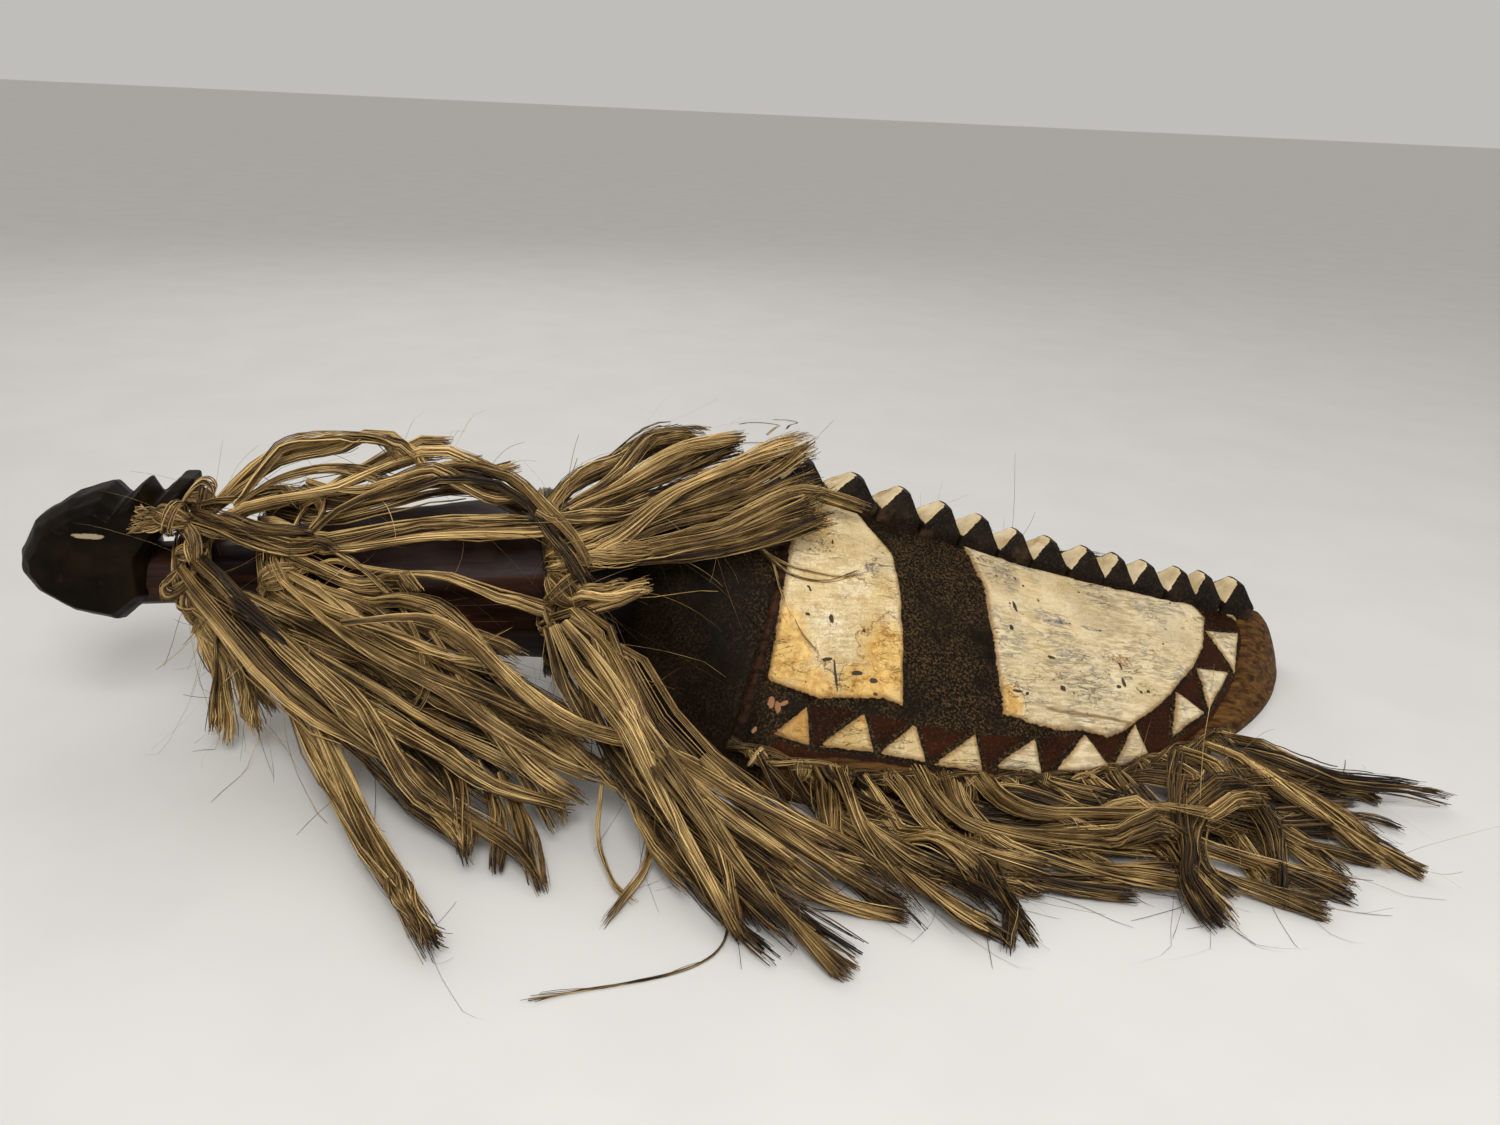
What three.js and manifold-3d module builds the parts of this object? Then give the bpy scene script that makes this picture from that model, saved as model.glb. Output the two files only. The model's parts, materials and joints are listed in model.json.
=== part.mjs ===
// A carved face mask with a toothed ridge down its face and a small carved bust above the forehead.
// It lies face up on its rim, and bundles of raffia are tied round the throat, shoulders, waist and rim.
// Millimetres, +Z up. While it is worked out, x is 0 at the chin's tip and falls towards the crown,
// y is 0 on the middle line and negative on the near side, and z is 0 on the rim's underside.
import * as THREE from 'three';
import { mergeVertices } from 'three/addons/utils/BufferGeometryUtils.js';
import Module from 'manifold-3d';

// Mask
const faceLength = 525;
const widestAt = 330;
const halfWidth = 172;
const rimEdge = 6;
const wallSide = 15;
const wallTop = 20;
const hollow = { from: 20, to: 500, step: 30, below: -10, segments: 12, curve: 1.6, narrowest: 3 };
const browLine = -400;
const sideCurve = 1.4;
const domeCurve = 1.9;
const reliefHeight = 2.5;

// Toothed ridge
const toothTops = [-389, -352.5, -318, -286.5, -257.5, -229, -202.5, -172, -147, -121.5, -93.5, -72, -44.5];
const tooth = {
  height: 20, rail: 5.5, sunk: 10, footHalfWidth: 14.5, topHalfWidth: 8, topHalfLength: 3.5, slopeReach: 12,
};

// Bust
const headLayers = [
  { away: 29, scale: 0.76, fill: 0.3 },
  { away: 21, scale: 0.9, fill: 0 },
  { away: 9, scale: 1, fill: 0 },
];
const neckRadius = 21;
const neckHeight = 100;

// Raffia
const clearance = 0.5;
const overlap = 0.4;
const startRun = 9;
const bundleThickness = 8;
const gridStep = 3;
const edgeShare = 0.02;
const throatRing = { x: -781, z: neckHeight, core: 21, cord: 7 };
const shoulderRing = { x: -737, z: 99, core: 31, cord: 7 };
const waistRing = { x: -562, z: 90, core: 57, cord: 8 };
const rimCordRadius = 8;
const rimCordFrom = -455;
const rimCordTo = -110;
const rimCordInset = { brow: 11, chin: 2.5, from: -400, to: -200 };
const rimCordGap = 1.5;

const wasm = await Module();
wasm.setup();

// Joining and cutting

function toSolid(geometry) {
  const bare = geometry.clone();
  bare.deleteAttribute('normal');
  bare.deleteAttribute('uv');
  const merged = mergeVertices(bare, 1e-4);
  return new wasm.Manifold(new wasm.Mesh({
    numProp: 3,
    vertProperties: new Float32Array(merged.attributes.position.array),
    triVerts: new Uint32Array(merged.index.array),
  }));
}

function toGeometry(solid) {
  const mesh = solid.getMesh();
  const geometry = new THREE.BufferGeometry();
  geometry.setAttribute('position', new THREE.BufferAttribute(mesh.vertProperties, 3));
  geometry.setIndex(new THREE.BufferAttribute(mesh.triVerts, 1));
  return geometry;
}

// A closed skin through rings of equal count, with a fan over each end.
function loft(rings) {
  const count = rings[0].length;
  const points = rings.flat();
  const middles = [rings[0], rings[rings.length - 1]].map((ring) =>
    ring.reduce((sum, point) => sum.add(point), new THREE.Vector3()).divideScalar(count));
  const faces = [];
  for (let r = 0; r < rings.length - 1; r++) {
    for (let k = 0; k < count; k++) {
      const a = r * count + k;
      const b = r * count + ((k + 1) % count);
      faces.push([a, b, b + count], [a, b + count, a + count]);
    }
  }
  const lastRing = (rings.length - 1) * count;
  for (let k = 0; k < count; k++) {
    const next = (k + 1) % count;
    faces.push([points.length, next, k], [points.length + 1, lastRing + k, lastRing + next]);
  }
  const all = [...points, ...middles];
  const volume = faces.reduce((sum, [a, b, c]) =>
    sum + all[a].dot(new THREE.Vector3().crossVectors(all[b], all[c])), 0);
  const outward = volume > 0 ? faces : faces.map(([a, b, c]) => [a, c, b]);
  const geometry = new THREE.BufferGeometry().setFromPoints(all);
  geometry.setIndex(outward.flat());
  return geometry;
}

function valueAt(stations, x, key) {
  if (x <= stations[0].x) return stations[0][key];
  for (let i = 1; i < stations.length; i++) {
    if (x <= stations[i].x) {
      const share = (x - stations[i - 1].x) / (stations[i].x - stations[i - 1].x);
      return THREE.MathUtils.lerp(stations[i - 1][key], stations[i][key], share);
    }
  }
  return stations[stations.length - 1][key];
}

// Mask: outline in plan, middle line in profile, and the surface between them

const middleLine = [
  { x: -525, z: 118 }, { x: -516, z: 136 }, { x: -500, z: 147 }, { x: -460, z: 156 }, { x: -400, z: 155 },
  { x: -357, z: 141 }, { x: -324, z: 130 }, { x: -235, z: 98 }, { x: -178, z: 82 }, { x: -98, z: 63 },
  { x: -39, z: 51 }, { x: -20, z: 46 }, { x: -11, z: 37 }, { x: -4, z: 23 }, { x: 0, z: 11 },
];

function halfWidthAt(x) {
  const back = -x;
  if (back <= 0 || back >= faceLength) return 0;
  if (back < widestAt) {
    return halfWidth * (1 - ((widestAt - back) / widestAt) ** 2) ** (1 / 1.45);
  }
  return halfWidth * (1 - ((back - widestAt) / (faceLength - widestAt)) ** 2.2) ** (1 / 1.8);
}

function sideCurveAt(x) {
  const share = THREE.MathUtils.clamp((browLine - x) / (faceLength + browLine), 0, 1);
  return THREE.MathUtils.lerp(sideCurve, domeCurve, share);
}

function faceHeight(x, y) {
  const share = Math.min(Math.abs(y) / halfWidthAt(x), 1);
  const top = valueAt(middleLine, x, 'z');
  return rimEdge + (top - rimEdge) * (1 - share ** sideCurveAt(x));
}

// Stations along the face, close together where it turns down at both ends.
function faceStations(step) {
  const ends = [0.6, 3, 8, 16, 28, 42];
  const stations = [...ends];
  for (let back = ends[ends.length - 1] + step; back < faceLength - 55; back += step) stations.push(back);
  for (const inset of [50, 35, 22, 12, 5, 1]) stations.push(faceLength - inset);
  return stations.map((back) => -back);
}

// One ring across the mask: over the top from rim to rim, and flat underneath.
function faceRing(x, segments, raise) {
  const width = halfWidthAt(x);
  const ring = [new THREE.Vector3(x, -width, 0)];
  for (let k = 0; k <= segments; k++) {
    const turn = -1 + (2 * k) / segments;
    const share = Math.sign(turn) * Math.abs(turn) ** 0.85;
    ring.push(new THREE.Vector3(x, width * share, faceHeight(x, width * share) + raise));
  }
  ring.push(new THREE.Vector3(x, width, 0));
  return ring;
}

function faceSolid(step, segments, raise) {
  return toSolid(loft(faceStations(step).map((x) => faceRing(x, segments, raise))));
}

function hollowSolid() {
  const rings = [];
  for (let back = hollow.from; back <= hollow.to; back += hollow.step) {
    const x = -back;
    const width = Math.max(halfWidthAt(x) - wallSide, hollow.narrowest);
    const top = valueAt(middleLine, x, 'z') - wallTop;
    const ring = [new THREE.Vector3(x, -width, hollow.below)];
    for (let k = 0; k <= hollow.segments; k++) {
      const share = -1 + (2 * k) / hollow.segments;
      ring.push(new THREE.Vector3(x, width * share, top * (1 - Math.abs(share) ** hollow.curve)));
    }
    ring.push(new THREE.Vector3(x, width, hollow.below));
    rings.push(ring);
  }
  return toSolid(loft(rings));
}

// Raised ground of the face: a plan outline cut from a slightly higher copy of the face

const firstPanel = [
  [-413, -13], [-356, -14], [-336, -44], [-338, -72], [-343, -100], [-348, -126], [-375, -123], [-402, -121],
  [-431, -109], [-420, -78], [-408, -45],
];
const secondPanel = [
  [-276, -12], [-270, -45], [-275, -85], [-280, -126], [-240, -131], [-200, -130], [-172, -117], [-135, -91],
  [-110, -68], [-94, -46], [-83, -26], [-88, -14],
];
const browRib = [
  [-403, 0], [-406, -40], [-416, -74], [-429, -102], [-440, -119], [-452, -135], [-464, -132], [-450, -112],
  [-438, -92], [-426, -68], [-416, -38], [-413, 0],
];

function planSolid(outline, side) {
  const shape = new THREE.Shape(outline.map(([x, y]) => new THREE.Vector2(x, -y * side)));
  return toSolid(new THREE.ExtrudeGeometry(shape, { depth: 250, bevelEnabled: false }));
}

function reliefSolid() {
  const raised = faceSolid(28, 16, reliefHeight);
  let relief = null;
  for (const outline of [firstPanel, secondPanel, browRib]) {
    for (const side of [-1, 1]) {
      const piece = planSolid(outline, side).intersect(raised);
      relief = relief ? relief.add(piece) : piece;
    }
  }
  return relief;
}

// The teeth stand square to the middle line. Where each is rooted follows from where its top is.
function toothSeat(top) {
  const fall = valueAt(middleLine, top - tooth.slopeReach, 'z') - valueAt(middleLine, top + tooth.slopeReach, 'z');
  const turn = Math.atan2(fall, 2 * tooth.slopeReach);
  const x = top - tooth.height * Math.sin(turn);
  return { x, z: valueAt(middleLine, x, 'z'), turn };
}

function toothSolid(index) {
  const seats = toothTops.map(toothSeat);
  const seat = seats[index];
  const before = index > 0 ? (seat.x - seats[index - 1].x) / 2 : (seats[1].x - seat.x) / 2;
  const after = index < seats.length - 1 ? (seats[index + 1].x - seat.x) / 2 : before;
  const level = (height, back, ahead, across) => {
    const corners = [[-back, -across], [ahead, -across], [ahead, across], [-back, across]];
    return corners.map(([along, y]) => new THREE.Vector3(
      seat.x + along * Math.cos(seat.turn) + height * Math.sin(seat.turn), y,
      seat.z + height * Math.cos(seat.turn) - along * Math.sin(seat.turn)));
  };
  return toSolid(loft([
    level(-tooth.sunk, before + overlap, after + overlap, tooth.footHalfWidth),
    level(tooth.rail, before + overlap, after + overlap, tooth.footHalfWidth),
    level(tooth.height, tooth.topHalfLength, tooth.topHalfLength, tooth.topHalfWidth),
  ]));
}

// Bust: torso and neck as one tapering log, and a faceted head that looks up

const bustStations = [
  { x: -818, z: 100, across: neckRadius, up: neckRadius },
  { x: -748, z: 100, across: neckRadius, up: neckRadius },
  { x: -733, z: 99, across: 28, up: 27 },
  { x: -712, z: 97, across: 40, up: 38 },
  { x: -690, z: 95, across: 47, up: 45 },
  { x: -645, z: 92, across: 51, up: 50 },
  { x: -600, z: 91, across: 54, up: 54 },
  { x: -558, z: 90, across: 56.4, up: 56.4 },
  { x: -534, z: 88, across: 52, up: 50 },
  { x: -505, z: 84, across: 38, up: 36 },
  { x: -484, z: 82, across: 30, up: 28 },
];

const bustSides = 14;

function bustSolid() {
  const rings = bustStations.map((station) => {
    const ring = [];
    for (let k = 0; k < bustSides; k++) {
      const angle = ((k + 0.5) / bustSides) * 2 * Math.PI;
      ring.push(new THREE.Vector3(
        station.x, station.across * Math.sin(angle), station.z + station.up * Math.cos(angle)));
    }
    return ring;
  });
  return toSolid(loft(rings));
}

// Profile of the head as x, z, and how far a notch is filled on the head's flat side.
const headProfile = [
  [-887, 110, 0], [-886, 121, 0], [-875, 140, 0], [-853, 154, 0], [-832, 160, 0], [-824, 150, 11],
  [-809, 164, 0], [-803, 150, 13], [-789, 166, 0], [-780, 166, 0], [-780, 154, 0], [-796, 137, 6],
  [-810, 122, 0], [-811, 90, 0], [-833, 72, 0], [-859, 80, 0], [-880, 96, 0],
];

function headSolid() {
  const middle = { x: -838, z: 117 };
  const layer = (y, { scale, fill }) => headProfile.map(([x, z, notch]) => new THREE.Vector3(
    middle.x + (x - middle.x) * scale, y, middle.z + (z + notch * fill - middle.z) * scale));
  return toSolid(loft([
    ...headLayers.map((at) => layer(-at.away, at)),
    ...headLayers.toReversed().map((at) => layer(at.away, at)),
  ]));
}

function carvedMask() {
  let solid = faceSolid(26, 20, 0).add(reliefSolid());
  for (let i = 0; i < toothTops.length; i++) solid = solid.add(toothSolid(i));
  return toGeometry(solid.add(bustSolid()).subtract(hollowSolid()).add(headSolid()));
}

// Cords: a ring round the bust, or a run along the outside of the rim

function ringCord(ring) {
  const geometry = new THREE.TorusGeometry(ring.core + ring.cord + clearance, ring.cord, 6, 18);
  geometry.rotateY(Math.PI / 2);
  geometry.translate(ring.x, 0, ring.z);
  return geometry;
}

// Point that stands off the face near its rim by a given distance along the surface's normal.
function besideRim(x, side, standOff) {
  const share = THREE.MathUtils.smoothstep(x, rimCordInset.from, rimCordInset.to);
  const y = side * (halfWidthAt(x) - THREE.MathUtils.lerp(rimCordInset.brow, rimCordInset.chin, share));
  const step = 1;
  const slopeX = (faceHeight(x + step, y) - faceHeight(x - step, y)) / (2 * step);
  const slopeY = (faceHeight(x, y + step) - faceHeight(x, y - step)) / (2 * step);
  const normal = new THREE.Vector3(-slopeX, -slopeY, 1).normalize();
  return new THREE.Vector3(x, y, faceHeight(x, y)).addScaledVector(normal, standOff);
}

// Rings of a flat oval section along a line of points.
function sectionRings(centres, widthAt, thicknessAt, sides) {
  return centres.map((centre, i) => {
    const before = centres[Math.max(i - 1, 0)];
    const after = centres[Math.min(i + 1, centres.length - 1)];
    const along = after.clone().sub(before).normalize();
    const across = new THREE.Vector3(-along.y, along.x, 0).normalize();
    const up = new THREE.Vector3().crossVectors(along, across);
    const share = i / (centres.length - 1);
    const ring = [];
    for (let k = 0; k < sides; k++) {
      const angle = ((k + 0.5) / sides) * 2 * Math.PI;
      ring.push(centre.clone()
        .addScaledVector(across, (Math.cos(angle) * widthAt(share)) / 2)
        .addScaledVector(up, (Math.sin(angle) * thicknessAt(share)) / 2));
    }
    return ring;
  });
}

function rimCord(side) {
  const centres = [];
  const runs = 18;
  for (let k = 0; k <= runs; k++) {
    const x = THREE.MathUtils.lerp(rimCordFrom, rimCordTo, k / runs);
    centres.push(besideRim(x, side, rimCordRadius + rimCordGap));
  }
  const thickness = () => 2 * rimCordRadius;
  return loft(sectionRings(centres, thickness, thickness, 6));
}

// Piles: the height of whatever lies highest over each cell of a grid, so that each bundle of raffia
// can be laid on what is already there. One holds the wood and cords, the other the raffia.

const grid = { fromX: -960, fromY: -420, columns: 360, rows: 280 };
const solidPile = new Float32Array(grid.columns * grid.rows);
const softPile = new Float32Array(grid.columns * grid.rows);

function cellOf(x, y) {
  return [Math.round((x - grid.fromX) / gridStep), Math.round((y - grid.fromY) / gridStep)];
}

function pileHeight(pile, x, y) {
  const [column, row] = cellOf(x, y);
  return pile[row * grid.columns + column];
}

// Raises every cell whose middle lies under a triangle to that triangle's height there.
function addToPile(pile, geometry) {
  const position = geometry.attributes.position;
  const index = geometry.index;
  const [a, b, c] = [new THREE.Vector3(), new THREE.Vector3(), new THREE.Vector3()];
  for (let i = 0; i < index.count; i += 3) {
    a.fromBufferAttribute(position, index.getX(i));
    b.fromBufferAttribute(position, index.getX(i + 1));
    c.fromBufferAttribute(position, index.getX(i + 2));
    const area = (b.x - a.x) * (c.y - a.y) - (c.x - a.x) * (b.y - a.y);
    if (area <= 0) continue;
    const [lowColumn, lowRow] = cellOf(Math.min(a.x, b.x, c.x), Math.min(a.y, b.y, c.y));
    const [highColumn, highRow] = cellOf(Math.max(a.x, b.x, c.x), Math.max(a.y, b.y, c.y));
    for (let column = lowColumn; column <= highColumn; column++) {
      for (let row = lowRow; row <= highRow; row++) {
        const x = grid.fromX + column * gridStep;
        const y = grid.fromY + row * gridStep;
        const shareA = ((b.x - x) * (c.y - y) - (c.x - x) * (b.y - y)) / area;
        const shareB = ((c.x - x) * (a.y - y) - (a.x - x) * (c.y - y)) / area;
        const shareC = 1 - shareA - shareB;
        if (Math.min(shareA, shareB, shareC) < -edgeShare) continue;
        const cell = row * grid.columns + column;
        pile[cell] = Math.max(pile[cell], shareA * a.z + shareB * b.z + shareC * c.z);
      }
    }
  }
}

// Raffia bundles: each follows a few points by hand, and is raised where it would pass through a pile

const bundleSides = 6;
const bundleSpans = 8;
const samplesPerSpan = 10;
const restGap = 1.2;
const layPasses = 60;
const deepestSag = 4;

function widthShape(share) {
  const spread = Math.sin((Math.PI / 2) * Math.min(share / 0.7, 1)) ** 1.5;
  const taper = 1 - 0.45 * Math.max(share - 0.8, 0) / 0.2;
  return (0.28 + 0.72 * spread) * taper;
}

function thicknessShape(share) {
  return 1.15 - 0.6 * share;
}

// How far a point of a bundle's middle line has to rise to clear what lies under its width.
function shortfall(point, across, halfSpan, halfHeight) {
  let support = 0;
  for (const offset of [-1, -0.6, -0.2, 0.2, 0.6, 1]) {
    const x = point.x + across.x * offset * halfSpan;
    const y = point.y + across.y * offset * halfSpan;
    support = Math.max(support, pileHeight(softPile, x, y), pileHeight(solidPile, x, y));
  }
  return support + halfHeight + restGap - point.z;
}

// The first span and half of the second keep the height they are given, because they stand on a cord.
function layDown(centres, width, thickness) {
  for (let pass = 0; pass < layPasses; pass++) {
    for (let i = 2; i < centres.length; i++) {
      const [before, after] = [centres[i - 1], centres[i]];
      const across = new THREE.Vector3(before.y - after.y, after.x - before.x, 0).normalize();
      for (let s = i === 2 ? samplesPerSpan / 2 : 0; s <= samplesPerSpan; s++) {
        const afterShare = s / samplesPerSpan;
        const beforeShare = i === 2 ? 0 : 1 - afterShare;
        const share = (i - 1 + afterShare) / bundleSpans;
        const need = shortfall(before.clone().lerp(after, afterShare), across,
          (width * widthShape(share)) / 2 + gridStep / 2, (thickness * thicknessShape(share)) / 2);
        if (need <= 0) continue;
        const scale = need / (afterShare ** 2 + beforeShare ** 2);
        after.z += scale * afterShare;
        before.z += scale * beforeShare;
      }
    }
    for (let i = 3; i < centres.length - 1; i++) {
      centres[i].z = Math.max(centres[i].z, (centres[i - 1].z + centres[i + 1].z) / 2 - deepestSag);
    }
  }
}

function bundle(route, width, thickness) {
  const [start, ...points] = route.map(([x, y, z]) => new THREE.Vector3(x, y, z));
  const run = new THREE.CatmullRomCurve3(points, false, 'centripetal').getSpacedPoints(bundleSpans - 1);
  const centres = [start, ...run];
  layDown(centres, width, thickness);
  const widthAt = (share) => width * widthShape(share);
  const thicknessAt = (share) => thickness * thicknessShape(share);
  return loft(sectionRings(centres, widthAt, thicknessAt, bundleSides));
}

// Start of a route: straight out from a ring, at an angle from its top towards the near side.
function startAt(ring, degrees, shift = 0) {
  const angle = THREE.MathUtils.degToRad(degrees);
  return [clearance, startRun].map((away) => {
    const radius = ring.core + 2 * ring.cord + clearance + away;
    return [ring.x + shift, -radius * Math.sin(angle), ring.z + radius * Math.cos(angle)];
  });
}

// In the order they are laid, so that the lowest come first.
const bustRoutes = [
  ['throat_tuft', 14, startAt(throatRing, 122, 1), [-768, -50, 58], [-768, -60, 20], [-770, -66, 5]],
  ['throat_tuft', 14, startAt(throatRing, 110, 5), [-754, -56, 60], [-746, -60, 20], [-742, -64, 5]],
  ['throat_tuft', 24, startAt(throatRing, 97, 2), [-745, -70, 80], [-714, -94, 44], [-687, -140, 22],
    [-625, -265, 5]],
  ['shoulder_tuft', 24, startAt(shoulderRing, 104), [-700, -74, 78], [-640, -98, 50], [-566, -150, 26]],
  ['throat_tuft', 26, startAt(throatRing, 80, 3), [-746, -76, 82], [-696, -106, 46], [-654, -132, 28],
    [-610, -205, 6]],
  ['shoulder_tuft', 26, startAt(shoulderRing, 86), [-700, -74, 92], [-625, -92, 60], [-535, -160, 32]],
  ['throat_tuft', 24, startAt(throatRing, 63), [-768, -64, 100], [-705, -95, 62], [-610, -168, 12]],
  ['shoulder_tuft', 28, startAt(shoulderRing, 68), [-700, -70, 108], [-620, -88, 84], [-560, -118, 60]],
  ['shoulder_tuft', 16, startAt(shoulderRing, 51), [-695, -58, 120], [-660, -66, 100], [-640, -86, 80]],
  ['waist_tuft', 26, startAt(waistRing, 106), [-548, -116, 42], [-530, -164, 20], [-482, -278, 5]],
  ['waist_tuft', 30, startAt(waistRing, 96), [-542, -112, 62], [-514, -172, 36], [-424, -304, 5]],
  ['waist_tuft', 28, startAt(waistRing, 86), [-538, -104, 80], [-516, -144, 62], [-480, -192, 42], [-386, -268, 6]],
  ['waist_tuft', 20, startAt(waistRing, 76), [-540, -86, 110], [-502, -80, 114]],
  ['waist_tuft', 18, startAt(waistRing, 66), [-515, -69, 130], [-455, -66, 138], [-400, -54, 148], [-368, -40, 148]],
  ['waist_tuft', 20, startAt(waistRing, 56), [-520, -56, 148], [-476, -46, 164], [-415, -30, 178], [-391, -22, 186]],
  ['waist_tuft', 18, startAt(waistRing, 46), [-525, -40, 164], [-481, -22, 178], [-432, 0, 182]],
  ['waist_tuft', 18, startAt(waistRing, 36), [-525, -26, 170], [-501, -6, 184], [-479, 12, 186], [-458, 22, 182]],
  ['torso_tuft', 18, startAt(shoulderRing, 34), [-702, -50, 136], [-640, -55, 144], [-580, -62, 146]],
  ['torso_tuft', 22, startAt(shoulderRing, 15), [-702, -28, 150], [-661, -34, 162], [-620, -26, 172],
    [-584, -36, 166]],
  ['torso_tuft', 24, startAt(shoulderRing, -6), [-700, 10, 150], [-630, 12, 158], [-580, 10, 168]],
  ['torso_tuft', 20, startAt(throatRing, 42, 5), [-764, -30, 140], [-722, -36, 150], [-660, -12, 164],
    [-590, -16, 166]],
  ['torso_tuft', 24, startAt(throatRing, 24, 5), [-752, -18, 162], [-722, -12, 182], [-690, -12, 182],
    [-655, -22, 172]],
].map(([group, width, start, ...rest]) => ({ group, width, points: [...start, ...rest] }));

// Bundles on the rim set off from the cord's outside, towards their own next point.
const rimTuftWidth = 26;

function withShortStart([start, next, ...rest]) {
  const share = startRun / Math.hypot(next[0] - start[0], next[1] - start[1]);
  return [start, start.map((value, axis) => THREE.MathUtils.lerp(value, next[axis], share)), next, ...rest];
}

const rimRoutes = [
  [[-402, -202, 14], [-378, -232, 10], [-334, -300, 5]],
  [[-374, -205, 14], [-354, -234, 10], [-329, -264, 5]],
  [[-345, -204, 14], [-300, -222, 10], [-250, -262, 5]],
  [[-228, -196, 14], [-220, -235, 10], [-216, -300, 5]],
  [[-168, -174, 14], [-168, -215, 10], [-174, -282, 5]],
  [[-150, -166, 16], [-142, -210, 10], [-128, -284, 5]],
  [[-300, -204, 14], [-270, -226, 10], [-205, -246, 5]],
  [[-256, -203, 14], [-215, -216, 12], [-143, -208, 5]],
  [[-130, -160, 18], [-110, -200, 12], [-74, -268, 5]],
  [[-112, -152, 20], [-88, -168, 14], [-44, -194, 5]],
].map((points) => ({ group: 'rim_tuft', width: rimTuftWidth, points: withShortStart(points) }));

// The far side is plainer: evenly spaced bundles that fall away from the same cords.
const farRim = {
  tufts: 8, fromBrowEnd: 20, fromChinEnd: 8, outside: 10, reach: 62, change: 14, turn: 2.3, drift: 44,
  startHeight: 14, middleHeight: 10, endHeight: 5,
};

function farRimRoutes() {
  const routes = [];
  for (let k = 0; k < farRim.tufts; k++) {
    const x = THREE.MathUtils.lerp(rimCordFrom + farRim.fromBrowEnd, rimCordTo - farRim.fromChinEnd,
      k / (farRim.tufts - 1));
    const y = halfWidthAt(x) + 2 * rimCordRadius + farRim.outside;
    const reach = farRim.reach + farRim.change * Math.sin(k * farRim.turn);
    const points = [[x, y, farRim.startHeight], [x + farRim.drift / 2, y + reach / 2, farRim.middleHeight],
      [x + farRim.drift, y + reach, farRim.endHeight]];
    routes.push({ group: 'far_rim_tuft', width: rimTuftWidth, points: withShortStart(points) });
  }
  return routes;
}

const farBustRoutes = [
  [22, startAt(throatRing, -90), [-770, 62, 60], [-735, 96, 18], [-700, 130, 5]],
  [24, startAt(shoulderRing, -88), [-705, 76, 66], [-660, 118, 20], [-615, 165, 5]],
  [26, startAt(waistRing, -96), [-535, 110, 50], [-510, 165, 18], [-485, 225, 5]],
  [26, startAt(waistRing, -80), [-505, 104, 75], [-455, 155, 45], [-412, 225, 8]],
].map(([width, start, ...rest]) => ({ group: 'far_tuft', width, points: [...start, ...rest] }));

// Assembly

const wood = new THREE.MeshStandardMaterial({ color: 0x2a1c14, roughness: 0.6, metalness: 0 });
const raffia = new THREE.MeshStandardMaterial({ color: 0xa98445, roughness: 0.5, metalness: 0 });
const mask = new THREE.Group();

function place(name, geometry, material, pile) {
  addToPile(pile, geometry);
  const mesh = new THREE.Mesh(geometry, material);
  mesh.name = name;
  mask.add(mesh);
}

function placeCord(name, geometry) {
  place(name, toGeometry(toSolid(geometry)), raffia, solidPile);
}

function placeBundles(routes) {
  const placed = {};
  for (const { group, width, points } of routes) {
    placed[group] = (placed[group] ?? 0) + 1;
    const name = `${group}_${String(placed[group]).padStart(2, '0')}`;
    place(name, bundle(points, width, bundleThickness), raffia, softPile);
  }
}

place('carved_mask', carvedMask(), wood, solidPile);
placeCord('throat_cord', ringCord(throatRing));
placeCord('shoulder_cord', ringCord(shoulderRing));
placeCord('waist_cord', ringCord(waistRing));
placeCord('near_rim_cord', rimCord(-1));
placeCord('far_rim_cord', rimCord(1));
placeBundles([...bustRoutes, ...rimRoutes, ...farRimRoutes(), ...farBustRoutes]);

// The origin is the bottom middle of the whole mask.
const box = new THREE.Box3().setFromObject(mask);
const middle = box.getCenter(new THREE.Vector3());
mask.position.set(-middle.x, -middle.y, -box.min.z);

export default mask;
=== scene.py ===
# A mossi mask in painted wood, hung with raffia and lying face up on its rim.
# Shapes are worked out in millimetres from the chin's tip: x falls towards the crown, y is 0 on the
# middle line and negative on the near side, z is 0 under the rim.
import bpy
import json
import math
import numpy as np
from mathutils import Matrix, Vector

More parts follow.
